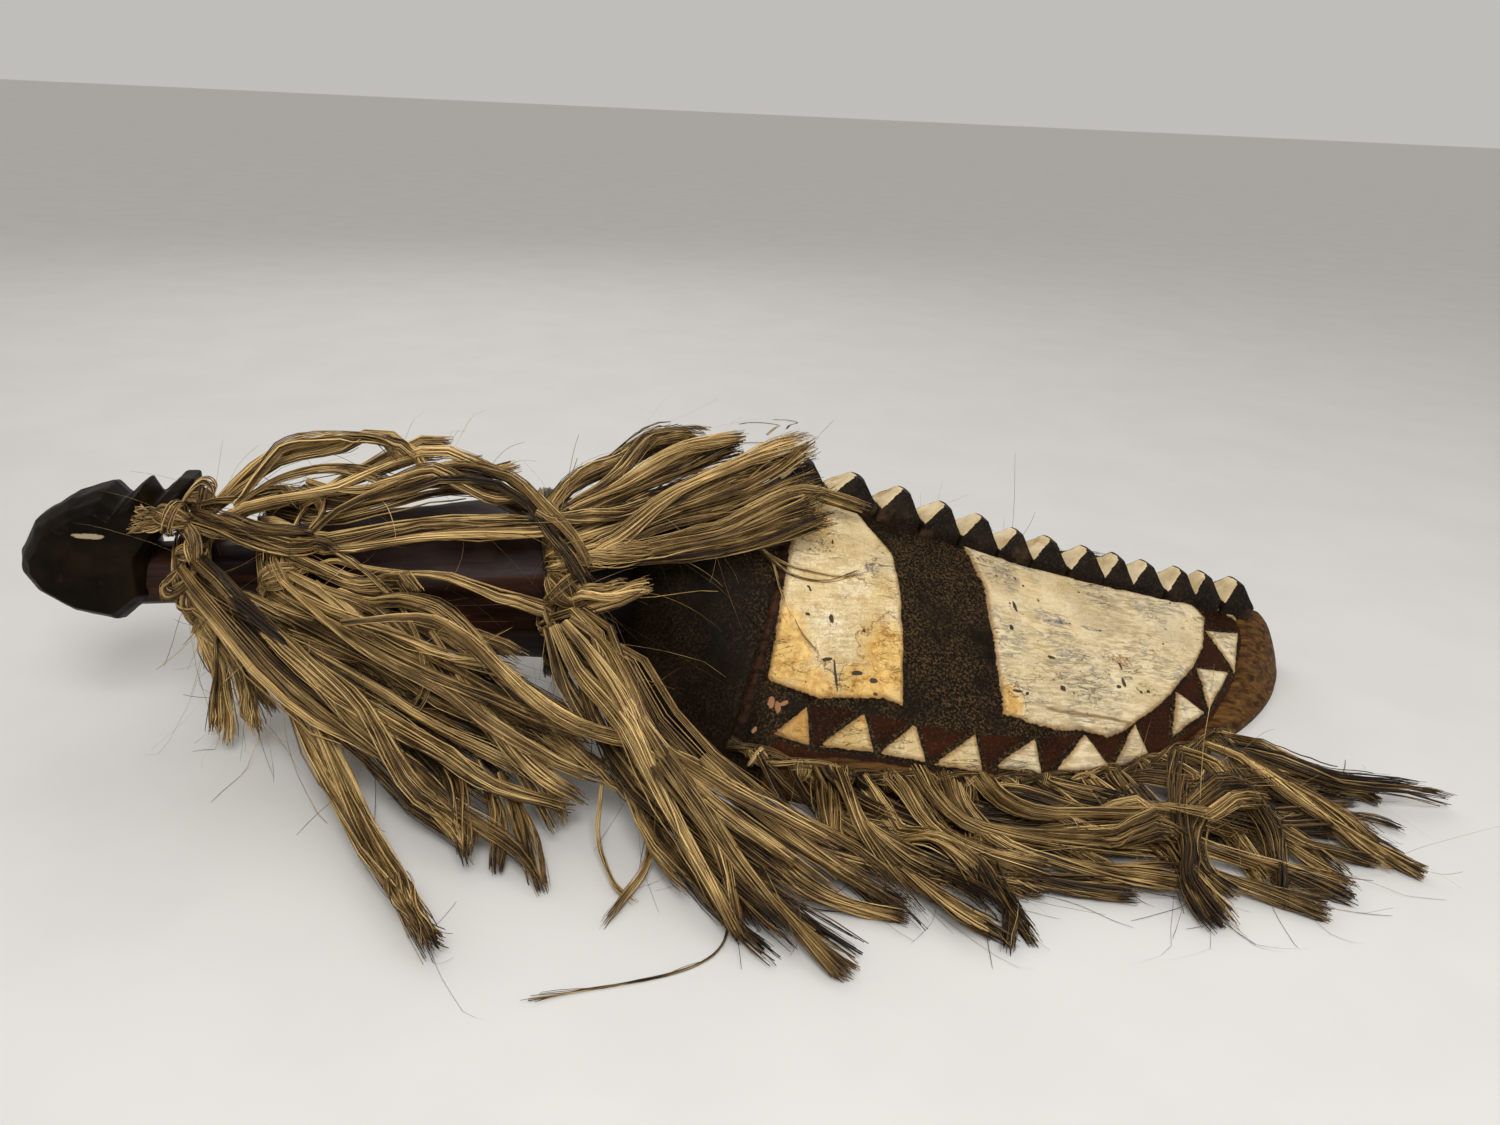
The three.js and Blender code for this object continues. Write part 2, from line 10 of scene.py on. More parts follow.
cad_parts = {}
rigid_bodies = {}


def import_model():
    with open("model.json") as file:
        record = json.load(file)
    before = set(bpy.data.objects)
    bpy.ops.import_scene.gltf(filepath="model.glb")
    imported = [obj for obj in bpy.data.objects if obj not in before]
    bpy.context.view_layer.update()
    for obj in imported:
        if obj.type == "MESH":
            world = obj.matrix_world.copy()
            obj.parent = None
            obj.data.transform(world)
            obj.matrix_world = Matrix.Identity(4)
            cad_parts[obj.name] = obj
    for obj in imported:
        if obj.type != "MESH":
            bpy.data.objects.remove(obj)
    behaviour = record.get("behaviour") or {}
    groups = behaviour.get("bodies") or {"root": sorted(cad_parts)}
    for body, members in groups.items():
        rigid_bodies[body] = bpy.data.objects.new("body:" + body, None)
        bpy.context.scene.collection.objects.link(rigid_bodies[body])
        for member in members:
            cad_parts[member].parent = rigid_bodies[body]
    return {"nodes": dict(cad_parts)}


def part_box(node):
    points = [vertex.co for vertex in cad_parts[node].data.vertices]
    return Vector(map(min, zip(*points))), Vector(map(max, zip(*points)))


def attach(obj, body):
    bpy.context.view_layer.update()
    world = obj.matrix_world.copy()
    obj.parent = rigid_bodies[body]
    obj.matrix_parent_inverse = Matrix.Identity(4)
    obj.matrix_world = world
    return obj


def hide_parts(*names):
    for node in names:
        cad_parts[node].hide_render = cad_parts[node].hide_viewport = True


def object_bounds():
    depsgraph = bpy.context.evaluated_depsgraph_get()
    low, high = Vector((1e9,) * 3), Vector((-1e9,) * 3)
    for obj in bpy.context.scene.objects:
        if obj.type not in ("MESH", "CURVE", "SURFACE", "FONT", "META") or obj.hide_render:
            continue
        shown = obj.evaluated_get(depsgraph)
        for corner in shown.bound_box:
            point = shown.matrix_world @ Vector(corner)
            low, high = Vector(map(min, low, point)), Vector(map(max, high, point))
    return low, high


for leftOver in list(bpy.data.objects):
    bpy.data.objects.remove(leftOver)
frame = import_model()
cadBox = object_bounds()
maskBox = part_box("carved_mask")
chinPoint = np.array([maskBox[1].x * 1000 + 0.6, (maskBox[0].y + maskBox[1].y) * 500, 0.0])


def toFrame(points):
    return (np.asarray(points, float) + chinPoint) / 1000


def frameX(x):
    return float(toFrame((x, 0, 0))[0])


middleY = float(chinPoint[1]) / 1000


# sums used by every piece

def ease(value, low=0.0, high=1.0):
    share = np.clip((value - low) / (high - low), 0, 1)
    return share * share * (3 - 2 * share)


def waver(points, size, seed):
    # soft noise between -1 and 1, in lumps of about the given size
    lattice = np.random.default_rng(seed).uniform(-1, 1, (32, 32, 32))
    place = np.asarray(points, float) / np.asarray(size, float)
    cell = np.floor(place).astype(int)
    share = ease(place - cell)
    total = np.zeros(place.shape[:-1])
    for corner in np.ndindex(2, 2, 2):
        weight = np.prod(np.where(corner, share, 1 - share), axis=-1)
        a, b, c = np.moveaxis((cell + corner) % 32, -1, 0)
        total += weight * lattice[a, b, c]
    return total


def resample(values, count):
    # a smooth run through a few values, Catmull-Rom
    values = np.asarray(values, float)
    padded = np.concatenate([2 * values[:1] - values[1:2], values, 2 * values[-1:] - values[-2:-1]])
    place = np.linspace(0, len(values) - 1, count)
    span = np.minimum(place.astype(int), len(values) - 2)
    t = (place - span).reshape([-1] + [1] * (values.ndim - 1))
    a, b, c, d = (padded[span + k] for k in range(4))
    return 0.5 * (2 * b + (c - a) * t + (2 * a - 5 * b + 4 * c - d) * t ** 2 + (3 * b - a - 3 * c + d) * t
                  ** 3)


def unit(vectors):
    return vectors / np.maximum(np.linalg.norm(vectors, axis=-1, keepdims=True), 1e-9)


def lineDistance(points, line):
    # how far each point of a plane is from a run of straight edges
    best = np.full(len(points), 1e9)
    for start, end in zip(line[:-1], line[1:]):
        edge = end - start
        share = np.clip(((points - start) @ edge) / max(edge @ edge, 1e-9), 0, 1)
        best = np.minimum(best, np.linalg.norm(points - start - share[:, None] * edge, axis=1))
    return best


def outlineDistance(points, outline):
    # the same for a closed outline, positive inside
    inside = np.zeros(len(points), bool)
    for start, end in zip(outline, np.roll(outline, -1, axis=0)):
        crosses = (start[1] > points[:, 1]) != (end[1] > points[:, 1])
        level = np.where(end[1] == start[1], 1e-9, end[1] - start[1])
        inside ^= crosses & (points[:, 0] < (end[0] - start[0]) * (points[:, 1] - start[1]) / level
                             + start[0])
    gap = lineDistance(points, np.vstack([outline, outline[:1]]))
    return np.where(inside, gap, -gap)


def loft(rings):
    # a closed skin over rings of equal count
    rows, count = rings.shape[:2]
    index = np.arange(rows * count).reshape(rows, count)
    after = np.roll(index, -1, axis=1)
    quads = np.stack([index[:-1], after[:-1], after[1:], index[1:]], -1).reshape(-1, 4)
    points = np.vstack([rings.reshape(-1, 3), rings[0].mean(0), rings[-1].mean(0)])
    caps = [(rows * count, after[0, k], index[0, k]) for k in range(count)]
    caps += [(rows * count + 1, index[-1, k], after[-1, k]) for k in range(count)]
    a, b, c = (points[quads[:, k]] for k in range(3))
    faces = quads.tolist() + caps
    if np.sum(a * np.cross(b, c)) < 0:
        faces = [face[::-1] for face in faces]
    return points, faces


def meshObject(name, points, faces, edges=(), attributes=None):
    mesh = bpy.data.meshes.new(name)
    mesh.from_pydata(toFrame(points).tolist(), list(edges), faces)
    for key, values in (attributes or {}).items():
        values = np.asarray(values, np.float32)
        kind = "FLOAT" if values.ndim == 1 else "FLOAT_VECTOR"
        layer = mesh.attributes.new(key, kind, "POINT")
        layer.data.foreach_set("value" if values.ndim == 1 else "vector", values.ravel())
    mesh.update()
    made = bpy.data.objects.new(name, mesh)
    bpy.context.scene.collection.objects.link(made)
    return made


def plainMesh(made, name):
    # the evaluated shape as an ordinary mesh, with nothing live left on it
    bpy.context.view_layer.update()
    view = made.evaluated_get(bpy.context.evaluated_depsgraph_get())
    mesh = bpy.data.meshes.new_from_object(view)
    made.modifiers.clear()
    bpy.data.objects.remove(made)
    mesh.name = name
    done = bpy.data.objects.new(name, mesh)
    bpy.context.scene.collection.objects.link(done)
    return done


def finishPiece(piece, nodes=(), material=None):
    if material:
        piece.data.materials.clear()
        piece.data.materials.append(material)
    piece.data.shade_smooth()
    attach(piece, "root")
    if nodes:
        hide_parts(*nodes)


# node trees, for materials and for geometry

class Wire:
    # a socket that adds a Math node for each sum written with it
    def __init__(self, graph, socket):
        self.graph, self.socket = graph, socket

    def sum(self, operation, *others, first=None, clamp=False):
        parts = [first, self] if first is not None else [self, *others]
        return self.graph.node("ShaderNodeMath", {"operation": operation, "use_clamp": clamp},
                               dict(enumerate(parts)))

    def __add__(self, other):
        return self.sum("ADD", other)

    def __sub__(self, other):
        return self.sum("SUBTRACT", other)

    def __mul__(self, other):
        return self.sum("MULTIPLY", other)

    def __truediv__(self, other):
        return self.sum("DIVIDE", other)

    def __pow__(self, other):
        return self.sum("POWER", other)

    def __rsub__(self, other):
        return self.sum("SUBTRACT", first=other)

    def __abs__(self):
        return self.sum("ABSOLUTE")

    __radd__ = __add__
    __rmul__ = __mul__

    def clamp(self):
        return self.sum("ADD", 0.0, clamp=True)

    def least(self, other):
        return self.sum("MINIMUM", other)

    def most(self, other):
        return self.sum("MAXIMUM", other)

    def step(self, low, high):
        # 0 below low, 1 above high, soft between
        return self.graph.node("ShaderNodeMapRange", {"interpolation_type": "SMOOTHSTEP"},
                               {"Value": self, "From Min": low, "From Max": high})


class Graph:
    def __init__(self, tree):
        self.tree = tree

    def node(self, kind, settings=None, inputs=None, output=0):
        made = self.tree.nodes.new(kind)
        for name, value in (settings or {}).items():
            if name == "stops":
                ramp = made.color_ramp
                while len(ramp.elements) < len(value):
                    ramp.elements.new(0.5)
                for element, (place, colour) in zip(ramp.elements, value):
                    element.position, element.color = place, (*colour, 1)
            else:
                setattr(made, name, value)
        for key, value in (inputs or {}).items():
            if isinstance(value, Wire):
                self.tree.links.new(value.socket, made.inputs[key])
            else:
                made.inputs[key].default_value = value
        return Wire(self, made.outputs[output] if made.outputs else None)

    def blend(self, factor, a, b):
        return self.node("ShaderNodeMix", {"data_type": "RGBA", "blend_type": "MIX", "clamp_factor": True},
                         {0: factor, 6: colourOf(a), 7: colourOf(b)}, 2)

    def shift(self, operation, *parts):
        return self.node("ShaderNodeVectorMath", {"operation": operation},
                         {k: part for k, part in enumerate(parts) if part is not None})

    def scaled(self, vector, amount):
        return self.node("ShaderNodeVectorMath", {"operation": "SCALE"}, {0: vector, 3: amount})


def colourOf(value):
    return value if isinstance(value, Wire) else (*value, 1)


class Finish(Graph):
    # a material's nodes, with the readings that the finishes share
    def __init__(self, name):
        self.material = bpy.data.materials.new(name)
        self.material.use_nodes = True
        super().__init__(self.material.node_tree)
        self.tree.nodes.clear()
        self.place = self.node("ShaderNodeTexCoord", output=3)

    def reading(self, name):
        return self.node("ShaderNodeAttribute", {"attribute_name": name}, output=2)

    def along(self, axis):
        # 0 to 2: how far along x, y or z a point lies, in metres
        return self.node("ShaderNodeSeparateXYZ", {}, {0: self.place}, axis)

    def stretched(self, x, y, z):
        return self.node("ShaderNodeMapping", {"vector_type": "POINT"},
                         {"Vector": self.place, "Scale": (x, y, z)})

    def noise(self, scale, detail=3.0, rough=0.55, vector=None, twist=0.0):
        return self.node("ShaderNodeTexNoise", {}, {
            "Vector": vector or self.place, "Scale": scale, "Detail": detail, "Roughness": rough,
            "Distortion": twist})

    def bump(self, height, depth, strength=1.0, under=None):
        inputs = {"Height": height, "Distance": depth, "Strength": strength}
        if under:
            inputs["Normal"] = under
        return self.node("ShaderNodeBump", {}, inputs)

    def close(self, colour, roughness, normal=None, **fixed):
        inputs = {"Base Color": colour, "Roughness": roughness}
        if normal:
            inputs["Normal"] = normal
        inputs.update({key.replace("_", " "): value for key, value in fixed.items()})
        shader = self.node("ShaderNodeBsdfPrincipled", {}, inputs)
        self.node("ShaderNodeOutputMaterial", {}, {"Surface": shader})
        return self.material


def emptyTree(name, sockets):
    # a geometry tree with its sockets made, and a wire for each of its inputs
    tree = bpy.data.node_groups.new(name, "GeometryNodeTree")
    for label, kind in [("Geometry", "Geometry"), *sockets]:
        tree.interface.new_socket(label, in_out="INPUT", socket_type="NodeSocket" + kind)
    tree.interface.new_socket("Geometry", in_out="OUTPUT", socket_type="NodeSocketGeometry")
    g = Graph(tree)
    inlet = tree.nodes.new("NodeGroupInput")
    return tree, g, [Wire(g, inlet.outputs[k]) for k in range(len(sockets) + 1)]


# camera, floor and light

# the photo's camera, its place in millimetres from the chin's tip, its focal length and frame in pixels
photoView = {"place": (-568.8, -735.8, 400.0), "right": (0.984, -0.1726, 0.0453),
             "forward": (0.1769, 0.910, -0.375),
             "focal": 1150, "size": (1500, 1125)}


def seenAt(u, v, height):
    # where a thing at this height lies that the photo shows at pixel (u, v), rounded to a tenth of a
    # millimetre and then to a whole one
    place, right, forward = (np.array(photoView[key]) for key in ("place", "right", "forward"))
    forward = forward / np.linalg.norm(forward)
    right = right - forward * (right @ forward)
    right = right / np.linalg.norm(right)
    up = np.cross(right, forward)
    wide, high = photoView["size"]
    ray = forward + right * (u - wide / 2) / photoView["focal"] + up * (high / 2 - v) / photoView["focal"]
    return np.round(np.round(place + ray * (height - place[2]) / ray[2], 1))


def readOff(hanks):
    return [([seenAt(*spot) for spot in spots], *rest) for spots, *rest in hanks]


def cameraAtPhoto():
    view = photoView
    forward = Vector(view["forward"]).normalized()
    right = Vector(view["right"])
    right = (right - forward * right.dot(forward)).normalized()
    up = right.cross(forward)
    lens = bpy.data.cameras.new("photoCamera")
    lens.sensor_width = 36
    lens.lens = view["focal"] / view["size"][0] * lens.sensor_width
    lens.clip_start, lens.clip_end = 0.01, 50
    camera = bpy.data.objects.new("photoCamera", lens)
    turn = Matrix((right, up, -forward)).transposed().to_4x4()
    camera.matrix_world = Matrix.Translation(Vector(toFrame(view["place"]))) @ turn
    bpy.context.scene.collection.objects.link(camera)
    bpy.context.scene.camera = camera
    bpy.context.scene.view_settings.view_transform = "Standard"


def stageAndLight():
    studio = {"floor": (0.70, 0.69, 0.665), "key": 19, "fill": 5, "back": 8, "air": 0.54}
    reach = 30.0
    mesh = bpy.data.meshes.new("floor")
    mesh.from_pydata([(-reach, -reach, 0), (reach, -reach, 0), (reach, reach, 0), (-reach, reach, 0)],
                     [], [(0, 1, 2, 3)])
    floor = bpy.data.objects.new("floor", mesh)
    bpy.context.scene.collection.objects.link(floor)
    paint = Finish("floorPaint")
    tone = paint.blend(paint.noise(9, 3).step(0.3, 0.7), tuple(0.96 * c for c in studio["floor"]),
                       studio["floor"])
    mesh.materials.append(paint.close(tone, 0.6))
    for name, place, aim, size, power in [
            ("keyLight", (-0.15, -1.2, 1.42), (0, 0, 0.08), 0.8, studio["key"]),
            ("fillLight", (1.4, -1.0, 1.1), (0.1, 0, 0.05), 1.4, studio["fill"]),
            ("backLight", (-0.3, 1.5, 1.5), (0, 0, 0.1), 1.4, studio["back"])]:
        lamp = bpy.data.lights.new(name, "AREA")
        lamp.shape, lamp.size, lamp.energy = "SQUARE", size, power
        holder = bpy.data.objects.new(name, lamp)
        holder.location = place
        holder.rotation_euler = (Vector(aim) - Vector(place)).to_track_quat("-Z", "Y").to_euler()
        bpy.context.scene.collection.objects.link(holder)
    world = bpy.data.worlds.new("studioAir")
    world.use_nodes = True
    air = world.node_tree.nodes["Background"]
    air.inputs["Color"].default_value = (0.98, 0.955, 0.915, 1)
    air.inputs["Strength"].default_value = studio["air"]
    bpy.context.scene.world = world


cameraAtPhoto()
stageAndLight()
print("camera, floor and light are in place")


# the face: outline in plan, profile of the middle line, and the surface between them

face = {"length": 525, "widestAt": 330, "halfWidth": 172, "rimEdge": 6, "brow": -400, "sideCurve": 1.4,
        "domeCurve": 1.9, "wallSide": 15, "wallTop": 20, "columns": 196, "underColumns": 34,
        "spread": 0.85, "underSpread": 0.75, "hollowFrom": (20, 34), "hollowTo": (486, 500)}
middleLine = np.array([(-525, 118), (-516, 136), (-500, 147), (-460, 156), (-400, 155), (-357, 141),
                       (-324, 130), (-235, 98),
                       (-178, 82), (-98, 63), (-39, 51), (-20, 46), (-11, 37), (-4, 23), (0, 11)], float)
evenLine = np.arange(-525, 1, 1.0)
evenHeight = np.interp(evenLine, middleLine[:, 0], middleLine[:, 1])
softHeight = np.convolve(np.pad(evenHeight, 7, "edge"), np.ones(15) / 15, "valid")
nearEnd = ease(np.minimum(evenLine + 525, -evenLine), 4, 30)
softHeight = evenHeight + (softHeight - evenHeight) * nearEnd


def middleHeight(x):
    return np.interp(x, evenLine, softHeight)


def halfWidthAt(x):
    back = np.clip(-np.asarray(x, float), 0, face["length"])
    chin = np.abs((face["widestAt"] - back) / face["widestAt"]) ** 2
    head = (np.maximum(back - face["widestAt"], 0) / (face["length"] - face["widestAt"])) ** 2.2
    return face["halfWidth"] * np.where(back < face["widestAt"], (1 - np.minimum(chin, 1)) ** (1 / 1.45),
                                        (1 - np.minimum(head, 1)) ** (1 / 1.8))


def sideCurveAt(x):
    # how full the shell's section is, growing from the brow back over the dome
    dome = np.clip((face["brow"] - x) / (face["length"] + face["brow"]), 0, 1)
    return face["sideCurve"] + (face["domeCurve"] - face["sideCurve"]) * dome


def faceHeight(x, y):
    share = np.minimum(np.abs(y) / np.maximum(halfWidthAt(x), 0.1), 1)
    return face["rimEdge"] + (middleHeight(x) - face["rimEdge"]) * (1 - share ** sideCurveAt(x))


def sideRun(x, y):
    # distance over the surface from the middle line out to y
    steps = np.linspace(0, min(abs(y), float(halfWidthAt(x))), 60)
    heights = faceHeight(np.full(60, x), steps)
    return float(np.sum(np.hypot(np.diff(steps), np.diff(heights))))


def unrolled(line):
    return np.array([(x, sideRun(x, y)) for x, y in line])


paintLines = {
    "panels": [
        [(-413, 13), (-356, 14), (-336, 44), (-338, 72), (-344, 106), (-349, 129), (-360, 125), (-382, 124),
         (-402, 122), (-419, 115),
         (-432, 109), (-420, 78), (-408, 45)],
        [(-276, 12), (-270, 45), (-275, 85), (-279, 115), (-281, 129), (-262, 133), (-248, 134.5),
         (-227, 132), (-209, 134),
         (-197, 130), (-182, 121), (-157, 106), (-138, 91), (-115, 71), (-97, 52), (-83, 26), (-88, 14)]],
    "rib": [(-407, 0), (-409, 40), (-420, 71), (-434, 97), (-447, 116), (-462, 134), (-476, 150)],
    "tips": [(-409, 124), (-374, 131), (-342, 137), (-303, 141), (-262, 140), (-224, 134), (-182, 122),
             (-139, 94),
             (-110, 70), (-85, 35), (-74, 6)],
    "headCorners": [(-431, 129), (-405, 141), (-368, 149), (-334, 155.5), (-295, 156.5), (-253, 156.5),
                    (-210, 151),
                    (-155, 125), (-115, 100), (-75, 65), (-49, 19)],
    "chinCorners": [(-410, 139), (-371, 148), (-339, 154), (-303, 158.5), (-263, 158), (-212, 152),
                    (-179, 140),
                    (-120, 103), (-80, 65), (-55, 30), (-52, 3)],
    "border": [(-440, 134), (-410, 144), (-371, 152), (-335, 159), (-265, 162), (-205, 156), (-150, 130),
               (-115, 106), (-75, 68), (-52, 34),
               (-44, 0)],
}


# rises and grooves of the carving in millimetres, and how it is adzed behind the brow
carving = {"panelRise": 2.4, "panelLip": 0.35, "whiteRise": 1.3, "whiteGroove": 0.9, "borderGroove": 1.2,
           "ribHalfWidth": 3.4, "ribRise": 2.0, "ribGroove": 1.1, "swell": 0.9, "adzeMarks": 0.55,
           "adzedOver": (405, 440)}
# rows across the face by their distance from the chin's tip, closer together at both ends
faceRows = np.concatenate([np.linspace(0.6, 28, 30), np.arange(29.5, 497, 1.48), np.linspace(498.5, 524, 26)])


def faceReadings(x, run):
    # signed distances in millimetres to everything painted or carved on the face
    flat = np.stack([x.ravel(), run.ravel()], -1)
    panel = np.max([outlineDistance(flat, unrolled(line)) for line in paintLines["panels"]], axis=0)
    white = np.full(len(flat), -99.0)
    for corners in zip(paintLines["tips"], paintLines["headCorners"], paintLines["chinCorners"]):
        white = np.maximum(white, outlineDistance(flat, unrolled(corners)))
    border = unrolled(paintLines["border"])
    closed = np.vstack([border, [(-40, -5), (-620, -5), (-620, 500), (-424, 500)]])
    ribLine = unrolled(paintLines["rib"])
    ribAcross = lineDistance(flat, ribLine)
    return {"panelEdge": panel, "whiteEdge": white, "borderEdge": outlineDistance(flat, closed),
            "ribEdge": carving["ribHalfWidth"] - ribAcross, "bandEdge": outlineDistance(flat, np.vstack([
                unrolled(paintLines["tips"]), border[::-1]]))}


def faceRelief(readings, x, points):
    panel, white, rib = readings["panelEdge"], readings["whiteEdge"], readings["ribEdge"]
    chipped = panel + 1.4 * waver(points, 5, 11) + 1.0 * waver(points, 13, 12)
    relief = carving["panelRise"] * ease(chipped, -1.2, 1.0)
    relief = relief + carving["panelLip"] * np.exp(-((panel - 2.5) / 2.2) ** 2)
    cut = white + 0.7 * waver(points, 4, 13)
    groove = carving["whiteGroove"] * np.exp(-((cut + 1.8) / 1.6) ** 2) * (white > -8)
    relief += carving["whiteRise"] * ease(cut, -0.6, 1.2) - groove
    relief -= carving["borderGroove"] * np.exp(-(readings["borderEdge"] / 1.5) ** 2)
    groove = carving["ribGroove"] * np.exp(-((rib + 0.8) / 0.9) ** 2)
    relief += carving["ribRise"] * ease(rib + 0.5 * waver(points, 9, 18), 0.2, 1.9) - groove
    relief += carving["swell"] * waver(points, 46, 14) + 0.30 * waver(points, (26, 11, 11), 15)
    adzed = ease(-x, *carving["adzedOver"])
    adzeMarks = adzed * carving["adzeMarks"] * np.abs(waver(points, (15, 12, 12), 16))
    relief += adzeMarks + 0.12 * waver(points, 4, 17)
    return relief


def carvedFace():
    turn = np.linspace(-1, 1, face["columns"] + 1)
    share = np.sign(turn) * np.abs(turn) ** face["spread"]
    x = np.repeat(-faceRows[:, None], len(share), axis=1)
    y = halfWidthAt(x) * share
    outer = np.stack([x, y, faceHeight(x, y)], -1)
    along, across = np.gradient(outer, axis=0), np.gradient(outer, axis=1)
    normal = unit(np.cross(across, along))
    normal *= np.sign(normal[..., 2:3] + 1e-9)
    steps = np.linalg.norm(np.diff(outer, axis=1), axis=-1)
    run = np.concatenate([np.zeros((len(faceRows), 1)), np.cumsum(steps, axis=1)], axis=1)
    run = np.abs(run - run[:, face["columns"] // 2][:, None])
    readings = {key: values.reshape(x.shape) for key, values in faceReadings(x, run).items()}
    relief = faceRelief(readings, x, outer)
    rimFade = ease((1 - np.abs(share)) * halfWidthAt(x), 0, 5)
    outer = outer + normal * (relief * rimFade)[..., None]
    outer[..., 2] = np.maximum(outer[..., 2], 1.0)
    underTurn = np.linspace(1, -1, face["underColumns"])
    underX = np.repeat(-faceRows[:, None], len(underTurn), axis=1)
    underY = halfWidthAt(underX) * np.sign(underTurn) * np.abs(underTurn) ** face["underSpread"]
    inner = np.maximum(halfWidthAt(underX) - face["wallSide"], 1)
    vault = (middleHeight(underX) - face["wallTop"]) * (1 - np.minimum(np.abs(underY) / inner, 1) ** 1.6)
    vault *= ease(faceRows, *face["hollowFrom"])[:, None] * (1 - ease(faceRows, *face["hollowTo"]))[:, None]
    gouge = 0.8 * waver(np.stack([underX, underY, vault], -1), (30, 9, 9), 21) * ease(vault, 0, 12)
    under = np.stack([underX, underY, np.maximum(vault + gouge, 0)], -1)
    rings = np.concatenate([outer, under], axis=1)
    points, faces = loft(rings)
    attributes = {}
    for key, values in readings.items():
        below = np.full(under.shape[:2], -50.0)
        grid = np.concatenate([values, below], axis=1).ravel()
        attributes[key] = np.concatenate([grid, [values[0].mean(), values[-1].mean()]])
    return meshObject("carvedFace", points, faces, attributes=attributes)


def softPatches(finish, spots):
    # soft patches round a few places on both halves of the face, each (x, y, size)
    x, y = finish.along(0), finish.along(1)
    total = None
    for px, py, size in spots:
        dx = (x - frameX(px)) / (size / 1000)
        dy = (abs(y - middleY) - py / 1000) / (size / 1000)
        patch = (1 - (dx * dx + dy * dy)).clamp()
        total = patch if total is None else total.most(patch)
    return total


def marks(finish, places, rough=0.9):
    # small marks with ragged edges, each (x, y, half length, half height) on both halves of the face
    x = finish.along(0)
    away = abs(finish.along(1) - middleY)
    ragged = (finish.noise(330, 3, 0.6) - 0.5) * rough * 2.4
    total = None
    for px, py, long, high in places:
        dx, dy = (x - frameX(px)) / (long / 1000), (away - py / 1000) / (high / 1000)
        mark = 1 - (dx * dx + dy * dy)
        total = mark if total is None else total.most(mark)
    return (total + ragged).step(0.0, 0.35)


# colours of the face, as linear red, green and blue
faceTints = {
    "soot": (0.0052, 0.0034, 0.0020), "sootPale": (0.0120, 0.0076, 0.0038),
    "wornThrough": (0.105, 0.062, 0.027),
    "redDeep": (0.0125, 0.0032, 0.0012), "redPale": (0.038, 0.0098, 0.0030), "redWorn": (0.10, 0.042, 0.016),
    "woodDeep": (0.030, 0.0115, 0.0026), "woodPale": (0.165, 0.076, 0.019),
    "woodCloud": (0.010, 0.0052, 0.0022),
    "ribDeep": (0.010, 0.0050, 0.0028), "ribPale": (0.048, 0.020, 0.009), "creamDeep": (0.68, 0.475, 0.19),
    "cream": (1.0, 0.89, 0.62), "brushed": (0.46, 0.325, 0.135), "speckled": (0.40, 0.265, 0.105),
    "yellowed": (0.58, 0.375, 0.125), "gritty": (0.50, 0.335, 0.14), "dullDeep": (0.46, 0.36, 0.205),
    "dullPale": (0.80, 0.68, 0.455), "stainPale": (0.86, 0.565, 0.185), "stainDeep": (0.56, 0.285, 0.060),
    "tideLine": (0.27, 0.115, 0.026), "greyPatch": (0.46, 0.36, 0.21), "crack": (0.10, 0.070, 0.05),
    "greyCrack": (0.175, 0.140, 0.105), "crackLip": (0.72, 0.66, 0.56), "hole": (0.075, 0.052, 0.038),
    "lifted": (0.19, 0.175, 0.185), "tan": (0.46, 0.25, 0.075), "orange": (0.60, 0.315, 0.085),
    "fold": (0.23, 0.125, 0.045), "edgeDirt": (0.30, 0.165, 0.060), "bare": (0.36, 0.175, 0.085),
}
# where the pale paint is stained or worn, and where painted shade greys the tops of the panels, each (x, y,
# size), and small marks, each (x, y, half length, half height); both halves of the face have them
faceSpots = {
    "ochre": [(-422, 100, 27), (-352, 108, 26), (-372, 124, 20), (-405, 122, 18), (-276, 122, 15),
              (-395, 30, 20)],
    "grey": [(-352, 34, 30), (-345, 52, 14), (-255, 34, 24), (-180, 40, 38), (-120, 44, 26)],
    "holes": [(-388.4, 89.3, 1.6, 2.6), (-390, 115, 0.9, 8), (-394, 108, 3.5, 0.8),
              (-376, 114.7, 3.8, 1.2), (-366, 118.6, 3.4, 1.3), (-250, 58, 1.4, 5),
              (-267, 116.8, 4, 1.0), (-232.5, 110.6, 2.2, 1.8), (-182, 98.6, 1.6, 3.2),
              (-170, 102.3, 1.2, 1.2), (-234, 91, 3.0, 1.3), (-179.5, 86.6, 1.0, 2.4)],
    "lifted": [(-354, 57, 6, 4.5), (-228, 63, 9, 1.8), (-216, 61, 6, 2.2), (-193, 61, 9, 1.6)],
    "tan": [(-365, 78, 4, 4), (-353, 84, 6, 4), (-372, 66, 3, 5), (-396, 84, 3, 4)],
    "orange": [(-418, 129, 22, 17)],
    "orangeFaint": [(-392, 130, 6, 8)],
    "bare": [(-431, 117.5, 2.4, 2.2), (-427, 120, 2.0, 2.4), (-423, 119.5, 3.0, 0.9),
             (-442, 123.5, 1.8, 1.0)],
}
# from where to where along x a change of the paint comes in; towards the chin it is partly painted shade
faceFades = {"chin": (-330, -285), "dome": (-445, -425), "fold": (-258, -244)}


